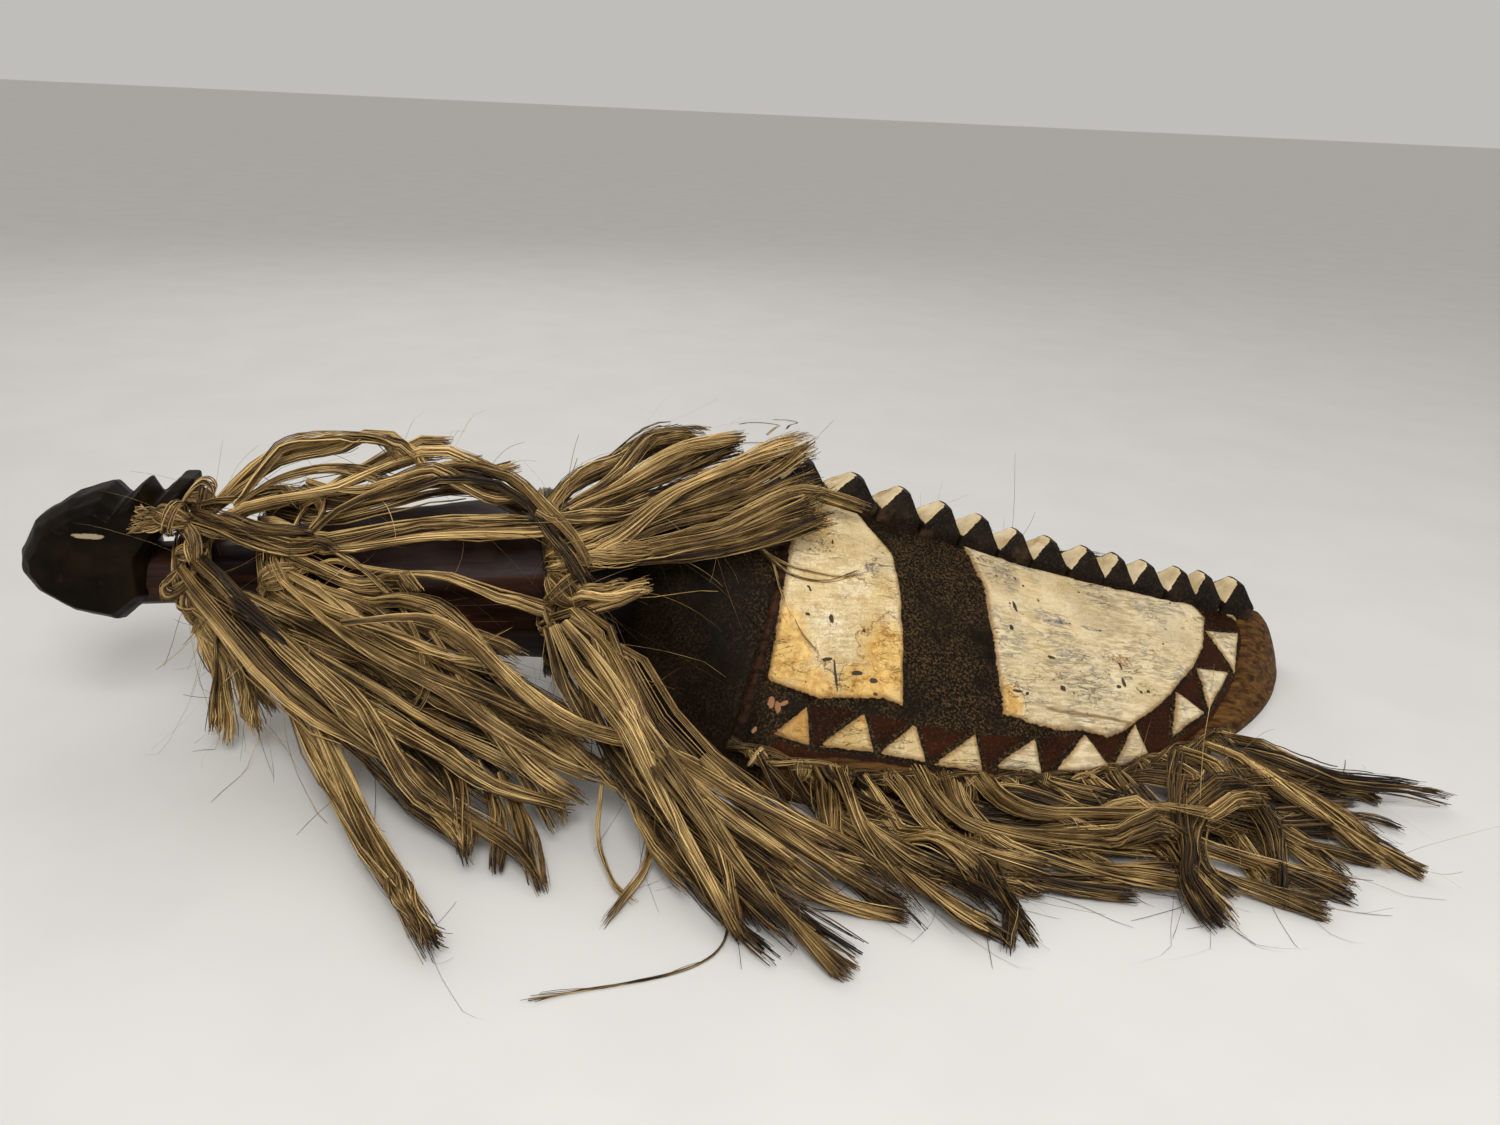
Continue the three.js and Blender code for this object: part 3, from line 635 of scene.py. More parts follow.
def paintedWood():
    paint = Finish("paintedWood")
    tint, spots = faceTints, faceSpots
    fine = paint.noise(420, 3) - 0.5
    wide = paint.noise(70, 3) - 0.5
    wander = fine * 2.2 + wide * 2.6
    panel = (paint.reading("panelEdge") + wander).step(-0.35, 0.35)
    white = (paint.reading("whiteEdge") + wander * 0.8).step(-0.3, 0.3)
    inFace = (paint.reading("borderEdge") + wander).step(-0.4, 0.4)
    rib = (paint.reading("ribEdge") + wander * 0.4).step(0.2, 1.0)
    band = (paint.reading("bandEdge") + wander).step(-1.0, 1.0)
    outline = (paint.reading("whiteEdge") + wander).step(-3.4, -2.6)
    grain = paint.noise(1, 5, 0.6, paint.stretched(22, 240, 240), 0.6)
    cloud = paint.noise(26, 4, 0.6)
    wideCloud = paint.noise(11, 3, 0.6)
    towardsChin = paint.along(0).step(*(frameX(x) for x in faceFades["chin"]))

    black = paint.blend(cloud.step(0.35, 0.75), tint["soot"], tint["sootPale"])
    onDome = 1 - paint.along(0).step(*(frameX(x) for x in faceFades["dome"]))
    worn = paint.noise(620, 4, 0.75).step(0.47, 0.60) * paint.noise(34, 4).step(0.28, 0.58)
    worn = worn * (1 - onDome * 0.75)
    black = paint.blend(worn * 0.9, black, tint["wornThrough"])
    grit = paint.noise(900, 3, 0.8)
    red = paint.blend(cloud.step(0.35, 0.7), tint["redDeep"], tint["redPale"])
    red = paint.blend(worn * 0.35, red, tint["redWorn"])
    brown = paint.blend(grain.step(0.32, 0.72), tint["woodDeep"], tint["woodPale"])
    brown = paint.blend(cloud.step(0.54, 0.8) * 0.7, brown, tint["woodCloud"])
    ribWood = paint.blend(grain.step(0.35, 0.7), tint["ribDeep"], tint["ribPale"])

    # what happened to the pale paint: ochre stains with tide lines, cracks and chips;
    # besides these, painted shade: greyer patches at the tops of the panels
    ochreSpots = softPatches(paint, spots["ochre"])
    paintedShadeSpots = softPatches(paint, spots["grey"])
    brush = paint.noise(1, 4, 0.62, paint.stretched(55, 420, 420), 0.5)
    cream = paint.blend(cloud.step(0.28, 0.70), tint["creamDeep"], tint["cream"])
    cream = paint.blend(brush.step(0.45, 0.62) * 0.45, cream, tint["brushed"])
    cream = paint.blend(paint.noise(210, 5, 0.75).step(0.50, 0.64) * 0.5, cream, tint["speckled"])
    cream = paint.blend(wideCloud.step(0.48, 0.62) * 0.55, cream, tint["yellowed"])
    cream = paint.blend(grit.step(0.46, 0.58) * 0.42, cream, tint["gritty"])
    # towards the chin the cream turns darker and greyer: partly greyer paint, partly painted shade
    greyAndShaded = paint.blend(brush.step(0.40, 0.60), tint["dullDeep"], tint["dullPale"])
    cream = paint.blend(towardsChin * (0.30 + wideCloud.step(0.35, 0.65) * 0.5), cream, greyAndShaded)
    soak = ochreSpots * 1.5 + (paint.noise(52, 6, 0.68) - 0.5) * 3.0 - 0.36
    stain = paint.blend(paint.noise(160, 5, 0.72).step(0.38, 0.64), tint["stainPale"], tint["stainDeep"])
    cream = paint.blend(soak.step(0.0, 0.9) * 0.85, cream, stain)
    tide = (1 - (abs(soak - 0.10)).step(0.0, 0.11)) * paint.noise(45, 3).step(0.40, 0.52)
    tide = tide.most((1 - (abs(soak - 0.85)).step(0.0, 0.10)) * paint.noise(38, 3).step(0.44, 0.58) * 0.8)
    cream = paint.blend(tide * 0.85, cream, tint["tideLine"])
    # painted shade: the raffia's shadow on the panel nearer the crown, and the dimmer top of the other panel
    greyed = (paintedShadeSpots + (paint.noise(90, 4) - 0.5)).step(0.40, 0.85)
    cream = paint.blend(greyed * 0.35, cream, tint["greyPatch"])
    crack = paint.noise(1, 4, 0.6, paint.stretched(30, 120, 120), 0.8)
    cracks = (1 - (abs(crack - 0.5)).step(0.0, 0.012)) * paint.noise(17, 2).step(0.48, 0.58)
    greyCrack = paint.noise(1, 5, 0.66, paint.stretched(24, 150, 150), 0.5)
    greyCracks = 1 - (abs(greyCrack - 0.52)).step(0.006, 0.030)
    greyCracks = greyCracks * paint.noise(21, 3).step(0.50, 0.60) * towardsChin
    cream = paint.blend(cracks * 0.85, cream, tint["crack"])
    cream = paint.blend(greyCracks * 0.7, cream, tint["greyCrack"])
    cream = paint.blend(greyCracks * (greyCrack - 0.5).step(0.0, 0.03) * 0.6, cream, tint["crackLip"])
    holes = paint.noise(150, 1, 0.4).step(0.742, 0.757)
    holes = holes.most(marks(paint, spots["holes"]))
    cream = paint.blend(holes, cream, tint["hole"])
    lifted = marks(paint, spots["lifted"])
    cream = paint.blend(lifted * paint.noise(260, 3).step(0.42, 0.56) * 0.85, cream, tint["lifted"])
    tan = marks(paint, spots["tan"])
    cream = paint.blend(tan * 0.3, cream, tint["tan"])
    orange = marks(paint, spots["orange"], 0.4).most(marks(paint, spots["orangeFaint"]) * 0.6)
    cream = paint.blend(orange * white * 0.8, cream, tint["orange"])
    fold = abs(paint.along(1) - middleY) - 0.124 + (paint.noise(60, 4) - 0.5) * 0.004
    foldReach = paint.along(0).step(*(frameX(x) for x in faceFades["fold"]))
    fold = (1 - abs(fold).step(0.0004, 0.0016)) * foldReach * panel
    cream = paint.blend(fold * 0.75, cream, tint["fold"])
    edgeDirt = 1 - (paint.reading("panelEdge").most(paint.reading("whiteEdge")) + wander * 1.4).step(0.0, 3.6)
    cream = paint.blend(edgeDirt * 0.8, cream, tint["edgeDirt"])

    colour = paint.blend(inFace, brown, black)
    redZone = band * (1 - outline)
    colour = paint.blend(redZone * inFace, colour, red)
    colour = paint.blend(rib, colour, ribWood)
    bare = marks(paint, spots["bare"])
    colour = paint.blend(bare, colour, tint["bare"])
    colour = paint.blend(panel.most(white), colour, cream)

    coated = panel.most(white)
    rough = 0.55 + (cloud - 0.5) * 0.3 + coated * 0.2 - rib * 0.1 - worn * 0.1
    height = grain * 0.30 + fine * 0.35 + cloud * 0.35
    normal = paint.bump(height, 0.0014, 0.65)
    dents = (cracks + holes + greyCracks) * coated * -1.0 + worn * 0.35 + soak * coated * 0.15
    scratches = paint.bump(dents, 0.0008, 0.8, normal)
    return paint.close(colour, rough.clamp(), scratches, IOR=1.45, Specular_IOR_Level=0.06)


faceShell = carvedFace()
finishPiece(faceShell, ["carved_mask"], paintedWood())
print("the face is carved:", len(faceShell.data.polygons), "faces")


# the toothed ridge: one tooth, set out along the middle line

ridge = {"tops": [-389, -352.5, -318, -286.5, -257.5, -229, -202.5, -172, -147, -121.5, -93.5, -72, -44.5],
         "start": -404, "end": -24, "height": 20, "rail": 5.5, "sunk": 9, "pitch": 28, "footHalfWidth": 14.5,
         "topHalfWidth": 8, "topHalfLength": 3.5, "seed": 5}


def oneTooth():
    side = 12
    corner = np.linspace(-1, 1, side + 1)[:-1]
    square = np.array([(t, -1) for t in corner] + [(1, t) for t in corner] + [(-t, 1) for t in corner]
                      + [(-1, -t) for t in corner])
    heights = np.concatenate([np.linspace(-ridge["sunk"], ridge["rail"], 7),
                              np.linspace(ridge["rail"], ridge["height"], 13)[1:]])
    rings, white = [], []
    for z in heights:
        rise = max(0.0, (z - ridge["rail"]) / (ridge["height"] - ridge["rail"]))
        long = ridge["pitch"] / 2 * (1 - rise) + ridge["topHalfLength"] * rise + 0.3
        wide = ridge["footHalfWidth"] * (1 - rise) + ridge["topHalfWidth"] * rise
        worn = 0.03 + 0.17 * rise ** 2
        plan = square * (1 - worn * (np.abs(square[:, :1] * square[:, 1:]) ** 2))
        rings.append(np.column_stack([plan[:, 0] * long, plan[:, 1] * wide, np.full(len(plan), z)]))
        white.append((-square[:, 0] - np.abs(square[:, 1])) * (long + wide) / 2)
    for shrink, lower in [(0.72, 0.35), (0.35, 0.6)]:
        rings.append(rings[len(heights) - 1] * (shrink, shrink, 1) + (0, 0, lower))
        white.append(white[len(heights) - 1] - 1.5)
    points, faces = loft(np.array(rings))
    points += 0.5 * np.stack([waver(points, 6, seed) for seed in (31, 32, 33)], -1)
    made = meshObject("oneTooth", points, faces,
                      attributes={"toothPaint": np.concatenate([np.ravel(white), [-9, -3]]),
                                  "toothRise": points[:, 2]})
    made.data.transform(Matrix.Translation(-Vector(toFrame((0, 0, 0)))))
    return made


def ridgeTree(tooth, material):
    tree, g, (points, change, lean, seed) = emptyTree("toothRidge", [
        ("Size change", "Float"), ("Lean", "Float"), ("Seed", "Int")])
    low = g.node("ShaderNodeCombineXYZ", {}, {0: 1 - change, 1: 1 - change, 2: 1 - change})
    high = g.node("ShaderNodeCombineXYZ", {}, {0: 1.0, 1: 1 + change, 2: 1.0})
    size = g.node("FunctionNodeRandomValue", {"data_type": "FLOAT_VECTOR"}, {0: low, 1: high, 8: seed})
    share = g.node("GeometryNodeInputNamedAttribute", {"data_type": "FLOAT"}, {0: "pitchShare"})
    size = g.shift("MULTIPLY", size, g.node("ShaderNodeCombineXYZ", {}, {0: share, 1: 1.0, 2: 1.0}))
    tilt = g.node("FunctionNodeRandomValue", {"data_type": "FLOAT"}, {2: lean * -1.0, 3: lean, 8: seed + 1.0},
                  1)
    slope = g.node("GeometryNodeInputNamedAttribute", {"data_type": "FLOAT"}, {0: "slope"})
    turn = g.node("ShaderNodeCombineXYZ", {}, {0: tilt, 1: slope, 2: tilt * 0.7})
    teeth = g.node("GeometryNodeObjectInfo", {"transform_space": "ORIGINAL"}, {0: tooth}, 4)
    rotation = g.node("FunctionNodeEulerToRotation", {}, {0: turn})
    placed = g.node("GeometryNodeInstanceOnPoints", {},
                    {"Points": points, "Instance": teeth, "Rotation": rotation, "Scale": size})
    real = g.node("GeometryNodeRealizeInstances", {}, {0: placed})
    painted = g.node("GeometryNodeSetMaterial", {}, {0: real, 2: material})
    g.tree.links.new(painted.socket, tree.nodes.new("NodeGroupOutput").inputs[0])
    return tree


def runTree(made, tree, **values):
    # sets the named inputs by their identifiers, then keeps the result as a plain mesh
    modifier = made.modifiers.new(tree.name, "NODES")
    modifier.node_group = tree
    names = {item.name: item.identifier for item in tree.interface.items_tree if item.in_out == "INPUT"}
    for name, value in values.items():
        modifier[names[name.replace("_", " ")]] = value
    return plainMesh(made, made.name)


# colours of the teeth, as linear red, green and blue
toothTints = {
    "creamDeep": (0.52, 0.38, 0.19), "cream": (0.80, 0.66, 0.42), "stained": (0.40, 0.22, 0.07),
    "soot": (0.0070, 0.0045, 0.0028), "sootPale": (0.022, 0.0125, 0.006), "worn": (0.080, 0.046, 0.022),
    "speckled": (0.055, 0.034, 0.017),
}


def toothPaint():
    paint = Finish("toothPaint")
    fine = paint.noise(420, 3) - 0.5
    wide = paint.noise(80, 3) - 0.5
    white = (paint.reading("toothPaint") + fine * 2.6 + wide * 4.0).step(0.2, 0.9)
    white = white * (paint.reading("toothRise") - ridge["rail"] + wide * 3).step(-0.6, 0.4)
    cloud = paint.noise(45, 4)
    cream = paint.blend(cloud.step(0.3, 0.7), toothTints["creamDeep"], toothTints["cream"])
    cream = paint.blend(paint.noise(60, 4).step(0.54, 0.70) * 0.7, cream, toothTints["stained"])
    black = paint.blend(cloud.step(0.4, 0.8), toothTints["soot"], toothTints["sootPale"])
    black = paint.blend(paint.noise(40, 5, 0.65).step(0.54, 0.70) * 0.6, black, toothTints["worn"])
    black = paint.blend(paint.noise(560, 4, 0.7).step(0.52, 0.64) * 0.5, black, toothTints["speckled"])
    rough = 0.5 + white * 0.2 + (cloud - 0.5) * 0.2
    normal = paint.bump(fine + wide, 0.0009, 0.7)
    return paint.close(paint.blend(white, black, cream), rough, normal, Specular_IOR_Level=0.08)


def toothRidge():
    tooth = oneTooth()
    tops = np.array(ridge["tops"], float)
    turn = np.arctan2(middleHeight(tops - 12) - middleHeight(tops + 12), 24.0)
    x = tops - ridge["height"] * np.sin(turn)
    seats = np.stack([x, np.zeros_like(x), middleHeight(x)], -1)
    gaps = np.diff(x)
    pitch = (np.concatenate([gaps[:1], gaps]) + np.concatenate([gaps, gaps[-1:]])) / 2
    made = meshObject("toothedRidge", seats, [],
                      attributes={"slope": turn, "pitchShare": pitch / ridge["pitch"]})
    paint = toothPaint()
    ridgePiece = runTree(made, ridgeTree(tooth, paint), Size_change=0.06, Lean=0.05, Seed=ridge["seed"])
    bpy.data.objects.remove(tooth)
    finishPiece(ridgePiece, ["carved_mask"], paint)
    return ridgePiece


ridgePiece = toothRidge()
print("the ridge has its teeth:", len(ridgePiece.data.polygons), "faces")


# the bust: torso and neck as a log with long shallow facets, and a faceted head looking up

bust = {"facets": 9, "stations": 190, "around": 108}
bustStations = np.array([(-822, 100, 21, 21), (-790, 100, 21, 21), (-748, 100, 21.5, 21.5),
                         (-733, 99, 28, 27),
                         (-712, 97, 40, 38), (-690, 95, 47, 45), (-645, 92, 51, 50), (-600, 91, 54, 54),
                         (-558, 90, 57, 57), (-534, 88, 52, 50), (-505, 84, 38, 36), (-484, 82, 30, 28)],
                        float)


def bustSection(x):
    return [np.interp(x, bustStations[:, 0], bustStations[:, k]) for k in (1, 2, 3)]


def carvedBust():
    x = np.linspace(bustStations[0, 0], bustStations[-1, 0], bust["stations"])
    middle, across, up = bustSection(x)
    angle = np.linspace(0, 2 * math.pi, bust["around"], endpoint=False)
    wedge = 2 * math.pi / bust["facets"]
    twist = 0.25 * np.sin(x / 70)[:, None]
    local = (angle[None, :] + twist) % wedge - wedge / 2
    flat = math.cos(wedge / 2) / np.cos(local)
    radius = 0.35 + 0.65 * flat / flat.max()
    ring = np.stack([np.repeat(x[:, None], len(angle), 1), across[:, None] * radius * np.sin(angle),
                     middle[:, None] + up[:, None] * radius * np.cos(angle)], -1)
    outward = unit(ring - np.stack([x, 0 * x, middle], -1)[:, None])
    dents = 0.9 * waver(ring, (48, 17, 17), 41) + 0.4 * waver(ring, (20, 8, 8), 42) - 0.4
    points, faces = loft(ring + outward * dents[..., None])
    return meshObject("carvedBust", points, faces)


headProfile = np.array([(-887, 110, 0), (-886, 121, 0), (-875, 140, 0), (-853, 154, 0), (-832, 160, 0),
                        (-824, 150, 11),
                        (-809, 164, 0), (-803, 150, 13), (-789, 166, 0), (-780, 166, 0), (-780, 154, 0),
                        (-796, 137, 6), (-810, 122, 0), (-811, 90, 0), (-833, 72, 0), (-859, 80, 0),
                        (-880, 96, 0)],
                       float)


def carvedHead():
    head = {"middle": (-838, 117), "layers": [(29, 0.76, 0.3), (21, 0.90, 0.0), (9, 1.0, 0.0)],
            "voxel": 0.00125}
    rings = []
    layers = [(-y, scale, fill) for y, scale, fill in head["layers"]] + head["layers"][::-1]
    for y, scale, side in layers:
        x = head["middle"][0] + (headProfile[:, 0] - head["middle"][0]) * scale
        z = head["middle"][1] + (headProfile[:, 1] + headProfile[:, 2] * side - head["middle"][1]) * scale
        rings.append(np.column_stack([x, np.full(len(x), y), z]))
    points, faces = loft(np.array(rings))
    made = meshObject("carvedHead", points, faces)
    remesh = made.modifiers.new("even", "REMESH")
    remesh.mode, remesh.voxel_size = "VOXEL", head["voxel"]
    rounding = made.modifiers.new("worn", "SMOOTH")
    rounding.factor, rounding.iterations = 0.5, 3
    made = plainMesh(made, "carvedHead")
    mesh = made.data
    co, normal = readPoints(mesh), readNormals(mesh)
    work = co * 1000 - chinPoint
    dents = 0.7 * waver(work, 16, 51) + 0.35 * waver(work, 6, 52) - 0.35
    co += normal * dents[:, None] / 1000
    mesh.vertices.foreach_set("co", co.ravel())
    mesh.update()
    return made


def readPoints(mesh):
    co = np.empty(len(mesh.vertices) * 3)
    mesh.vertices.foreach_get("co", co)
    return co.reshape(-1, 3)


def readNormals(mesh):
    normal = np.empty(len(mesh.vertices) * 3, np.float32)
    mesh.vertex_normals.foreach_get("vector", normal)
    return normal.reshape(-1, 3)


# colours of the bust, as linear red, green and blue
bustTints = {
    "deep": (0.0095, 0.0036, 0.0022), "warm": (0.042, 0.0135, 0.0070), "streak": (0.0052, 0.0032, 0.0024),
    "dusty": (0.075, 0.040, 0.024), "greyed": (0.085, 0.066, 0.060), "sooty": (0.008, 0.0062, 0.0054),
}
# from where to where along x the bust turns sooty
bustSoot = (-560, -548)


def bustWood():
    wood = Finish("bustWood")
    grain = wood.noise(1, 5, 0.62, wood.stretched(16, 170, 170), 0.8)
    cloud = wood.noise(20, 4, 0.6)
    streak = wood.noise(1, 3, 0.5, wood.stretched(7, 60, 60), 0.4)
    colour = wood.blend(grain.step(0.30, 0.72), bustTints["deep"], bustTints["warm"])
    colour = wood.blend(streak.step(0.52, 0.68) * 0.6, colour, bustTints["streak"])
    colour = wood.blend(cloud.step(0.58, 0.74) * 0.5, colour, bustTints["dusty"])
    greyed = wood.noise(1, 5, 0.7, wood.stretched(26, 90, 90), 0.6).step(0.55, 0.66)
    greyed = greyed * wood.noise(13, 3).step(0.50, 0.62)
    colour = wood.blend(greyed * 0.45, colour, bustTints["greyed"])
    sooty = (wood.along(0) + (cloud - 0.5) * 0.02).step(*(frameX(x) for x in bustSoot))
    colour = wood.blend(sooty, colour, bustTints["sooty"])
    rough = 0.40 + (cloud - 0.4) * 0.5 + (grain - 0.5) * 0.2
    normal = wood.bump(grain * 0.7 + cloud * 0.3, 0.0009, 0.5)
    return wood.close(colour, rough.clamp(), normal, Specular_IOR_Level=0.14)


# colours of the head, as linear red, green and blue
headTints = {
    "soot": (0.0040, 0.0026, 0.0014), "sootPale": (0.0135, 0.0080, 0.0034), "worn": (0.042, 0.026, 0.013),
    "eye": (0.40, 0.32, 0.20),
}
# the slit of the eye: its middle in millimetres, its half length and half height in metres, and its lean
eyeSlit = {"middle": (-839, 0, 136), "halfLength": 0.0090, "halfHeight": 0.0019, "lean": 0.05}


def headWood():
    wood = Finish("headWood")
    cloud = wood.noise(34, 5, 0.62)
    grain = wood.noise(1, 5, 0.6, wood.stretched(60, 200, 60), 0.7)
    colour = wood.blend(cloud.step(0.35, 0.75), headTints["soot"], headTints["sootPale"])
    colour = wood.blend(grain.step(0.60, 0.76) * 0.5, colour, headTints["worn"])
    x, z = wood.along(0), wood.along(2)
    eye = toFrame(eyeSlit["middle"])
    away = abs(x - float(eye[0])) / eyeSlit["halfLength"]
    slant = (x - float(eye[0])) * eyeSlit["lean"]
    above = abs(z - float(eye[2]) + slant) / eyeSlit["halfHeight"]
    slit = away ** 2.0 + above ** 2.0
    slit = 1 - (slit + (wood.noise(300, 3) - 0.5) * 2.2).step(0.6, 1.2)
    colour = wood.blend(slit * 0.9, colour, headTints["eye"])
    rough = 0.42 + (cloud - 0.5) * 0.5
    normal = wood.bump(cloud * 0.5 + grain * 0.5, 0.0011, 0.6)
    return wood.close(colour, rough.clamp(), normal, Specular_IOR_Level=0.05)


for piece, wood in [(carvedBust(), bustWood()), (carvedHead(), headWood())]:
    finishPiece(piece, ["carved_mask"], wood)
print("the bust and its head are carved")


# raffia: locks laid along the bundles and hanks, each filled with strips by a geometry tree

raffia = {"halfWidth": 0.54, "halfThick": 0.18, "wave": 1.7, "locks": 3, "strips": 54, "hairs": 14,
          "proud": 8, "seed": 9,
          "overTop": 1.8, "beside": 1.6, "overTooth": 1.5, "drawnOver": 40}


def lock(path, across, up, strips, scale=1.0, twist=0.4, fray=1.0, age=0.0):
    # across and up are vectors whose lengths are the lock's half width and half thickness
    return {"path": path, "across": across, "up": up, "style": (strips, twist, fray),
            "shade": (scale, age, 0)}


def stripTree(name, material):
    tree, g, (lines, halfWidth, halfThick, wave, seed) = emptyTree(name, [
        ("Half width", "Float"), ("Half thickness", "Float"), ("Wave", "Float"), ("Seed", "Int")])

    def vectorOf(label):
        return g.node("GeometryNodeInputNamedAttribute", {"data_type": "FLOAT_VECTOR"}, {0: label})

    def partsOf(vector):
        split = g.node("ShaderNodeSeparateXYZ", {}, {0: vector})
        return [Wire(g, split.socket.node.outputs[k]) for k in range(3)]

    def perStrip(low, high, number):
        value = g.node("FunctionNodeRandomValue", {"data_type": "FLOAT"},
                       {2: low, 3: high, 8: seed + float(number)}, 1)
        return g.node("GeometryNodeFieldOnDomain", {"data_type": "FLOAT", "domain": "CURVE"}, {0: value})

    def rippled(place, scale, detail):
        noise = g.node("ShaderNodeTexNoise", {}, {"Vector": place, "Scale": scale, "Detail": detail}, 1)
        return g.shift("SUBTRACT", noise, (0.5, 0.5, 0.5))

    strips, twist, fray = partsOf(vectorOf("style"))
    scale, age, _ = partsOf(vectorOf("shade"))
    curves = g.node("GeometryNodeMeshToCurve", {}, {0: lines})
    many = g.node("GeometryNodeDuplicateElements", {"domain": "SPLINE"},
                  {"Geometry": curves, "Amount": strips})
    factor = g.node("GeometryNodeSplineParameter", {}, {})
    angle = perStrip(0.0, 2 * math.pi, 1) + (twist + perStrip(-0.15, 0.15, 2)) * factor * (2 * math.pi)
    late = factor.step(0.55, 1.0) * fray
    loose = perStrip(-6.0, 1.0, 12).most(0.0) * fray.least(1.0) * factor.step(0.0, 0.4)
    spread = perStrip(0.0, 1.0, 3) ** 0.5 * (1 + late * perStrip(0.0, 0.9, 4) + loose * 1.2)
    offset = g.shift("ADD", g.scaled(vectorOf("across"), angle.sum("COSINE") * spread),
                     g.scaled(vectorOf("up"), angle.sum("SINE") * spread * (1 + late * 0.6)))
    where = g.node("GeometryNodeInputPosition", {}, {})
    apart = g.node("ShaderNodeCombineXYZ", {}, {0: perStrip(0.0, 40.0, 5), 1: perStrip(0.0, 40.0, 6), 2: 0.0})
    near = g.node("ShaderNodeCombineXYZ", {}, {0: perStrip(0.0, 0.03, 13), 1: perStrip(0.0, 0.03, 14),
                                               2: 0.0})
    single = g.scaled(rippled(g.shift("ADD", where, apart), 30.0, 1.0),
                      wave * (0.35 + factor + late + loose * 6))
    shared = g.scaled(rippled(g.shift("ADD", where, near), 24.0, 1.0), wave * 2.2 * (0.3 + factor))
    moved = g.node("GeometryNodeSetPosition", {}, {
        "Geometry": many, "Offset": g.shift("ADD", offset, g.shift("ADD", single, shared))})
    short = 1 - perStrip(0.0, 0.09, 7) * fray.least(1.0) - loose * 0.25
    cut = g.node("GeometryNodeTrimCurve", {"mode": "FACTOR"}, {"Curve": moved, 3: short})
    # the strip's darkening, for age and for painted shade, is kept with its tone and its run
    for label, domain, value in [("stripTone", "CURVE", perStrip(0.0, 1.0, 8)), ("stripRun", "POINT", factor),
                                 ("stripAge", "CURVE", age)]:
        cut = g.node("GeometryNodeStoreNamedAttribute", {"data_type": "FLOAT", "domain": domain},
                     {"Geometry": cut, "Name": label, "Value": value})
    tilted = g.node("GeometryNodeSetCurveTilt", {}, {
        "Curve": cut, "Tilt": perStrip(-0.9, 0.9, 9) + factor * perStrip(-1.8, 1.8, 10)})
    width = scale * (0.4 + perStrip(0.0, 1.0, 11) ** 1.6) * (1 - factor.step(0.94, 1.0) * 0.35)
    profile = g.node("GeometryNodeCurvePrimitiveCircle", {"mode": "RADIUS"}, {"Resolution": 3, "Radius": 1.0})
    corner = g.node("GeometryNodeInputIndex", {}, {}) * 1.0
    profile = g.node("GeometryNodeStoreNamedAttribute", {"data_type": "FLOAT", "domain": "POINT"},
                     {"Geometry": profile, "Name": "stripSide", "Value": corner})
    flat = g.node("GeometryNodeTransform", {}, {"Geometry": profile, "Scale": g.node(
        "ShaderNodeCombineXYZ", {}, {0: halfWidth, 1: halfThick, 2: 1.0})})
    strip = g.node("GeometryNodeCurveToMesh", {}, {"Curve": tilted, "Profile Curve": flat, "Scale": width,
                                                   "Fill Caps": True})
    real = g.node("GeometryNodeRealizeInstances", {}, {0: strip})
    painted = g.node("GeometryNodeSetMaterial", {}, {0: real, 2: material})
    g.tree.links.new(painted.socket, tree.nodes.new("NodeGroupOutput").inputs[0])
    return tree


def raffiaFinish(name, pale, middle, dark):
    fibre = Finish(name)
    tone, run, age, side = (fibre.reading(key) for key in ("stripTone", "stripRun", "stripAge", "stripSide"))
    lengthwise = fibre.node("ShaderNodeCombineXYZ", {}, {0: side * 4.5, 1: tone * 91.0, 2: run * 4.0})
    streak = fibre.noise(1, 2, 0.6, lengthwise) - 0.5
    patch = fibre.noise(30, 3) - 0.5
    # darker with age: older raffia, and also painted shade on the bundles underneath and on the fringe
    level = tone * 0.80 + streak * 1.3 + patch * 1.1 + 0.12 - run.step(0.88, 1.0) * 0.22 - age * 0.6
    colour = fibre.node("ShaderNodeValToRGB", {"stops": [(0.0, dark), (0.40, middle), (0.92, pale)]},
                        {0: level.clamp()})
    rough = 0.30 + tone * 0.16 + run.step(0.6, 1.0) * 0.2
    normal = fibre.bump(streak, 0.0004, 0.6)
    return fibre.close(colour, rough, normal, Specular_IOR_Level=0.35)


def woodTop(points):
    # lifts or pushes points out of the face, the teeth and the bust, and off the floor
    x, y, z = points.T
    width = halfWidthAt(x)
    inFace = (x > -face["length"] + 1) & (x < -1) & (np.abs(y) < width)
    top = faceHeight(x, y) + raffia["overTop"]
    rise = np.clip((z - face["rimEdge"]) / (middleHeight(x) - face["rimEdge"]), 0, 1)
    sideAt = width * (1 - rise) ** (1 / sideCurveAt(x)) + raffia["beside"]
    sideways = sideAt - np.abs(y)
    below = inFace & (z < top)
    goOut = below & (sideways < (top - z) * 1.4)
    y = np.where(goOut, np.where(y < 0, -sideAt, sideAt), y)
    z = np.where(below & ~goOut, top, z)
    near = np.min([np.abs(x - top) for top in ridge["tops"]], axis=0)
    tall = (ridge["height"] - ridge["rail"]) * np.clip(1.25 - near / 11, 0, 1)
    tooth = ridge["rail"] + tall + raffia["overTooth"]
    tooth *= np.clip((ridge["footHalfWidth"] + 2 - np.abs(y)) / 4, 0, 1)
    onRidge = (x > ridge["start"]) & (x < ridge["end"]) & (tooth > 0)
    z = np.where(onRidge, np.maximum(z, middleHeight(x) + tooth), z)
    middle, across, up = bustSection(x)
    onBust = (x > bustStations[0, 0]) & (x < bustStations[-1, 0] - 4)
    away = np.hypot(y / (across + raffia["beside"]), (z - middle) / (up + raffia["beside"]))
    push = np.where(onBust & (away < 1), 1 / np.maximum(away, 0.05), 1)
    return np.stack([x, y * push, np.maximum(middle + (z - middle) * push, 0.5)], -1)


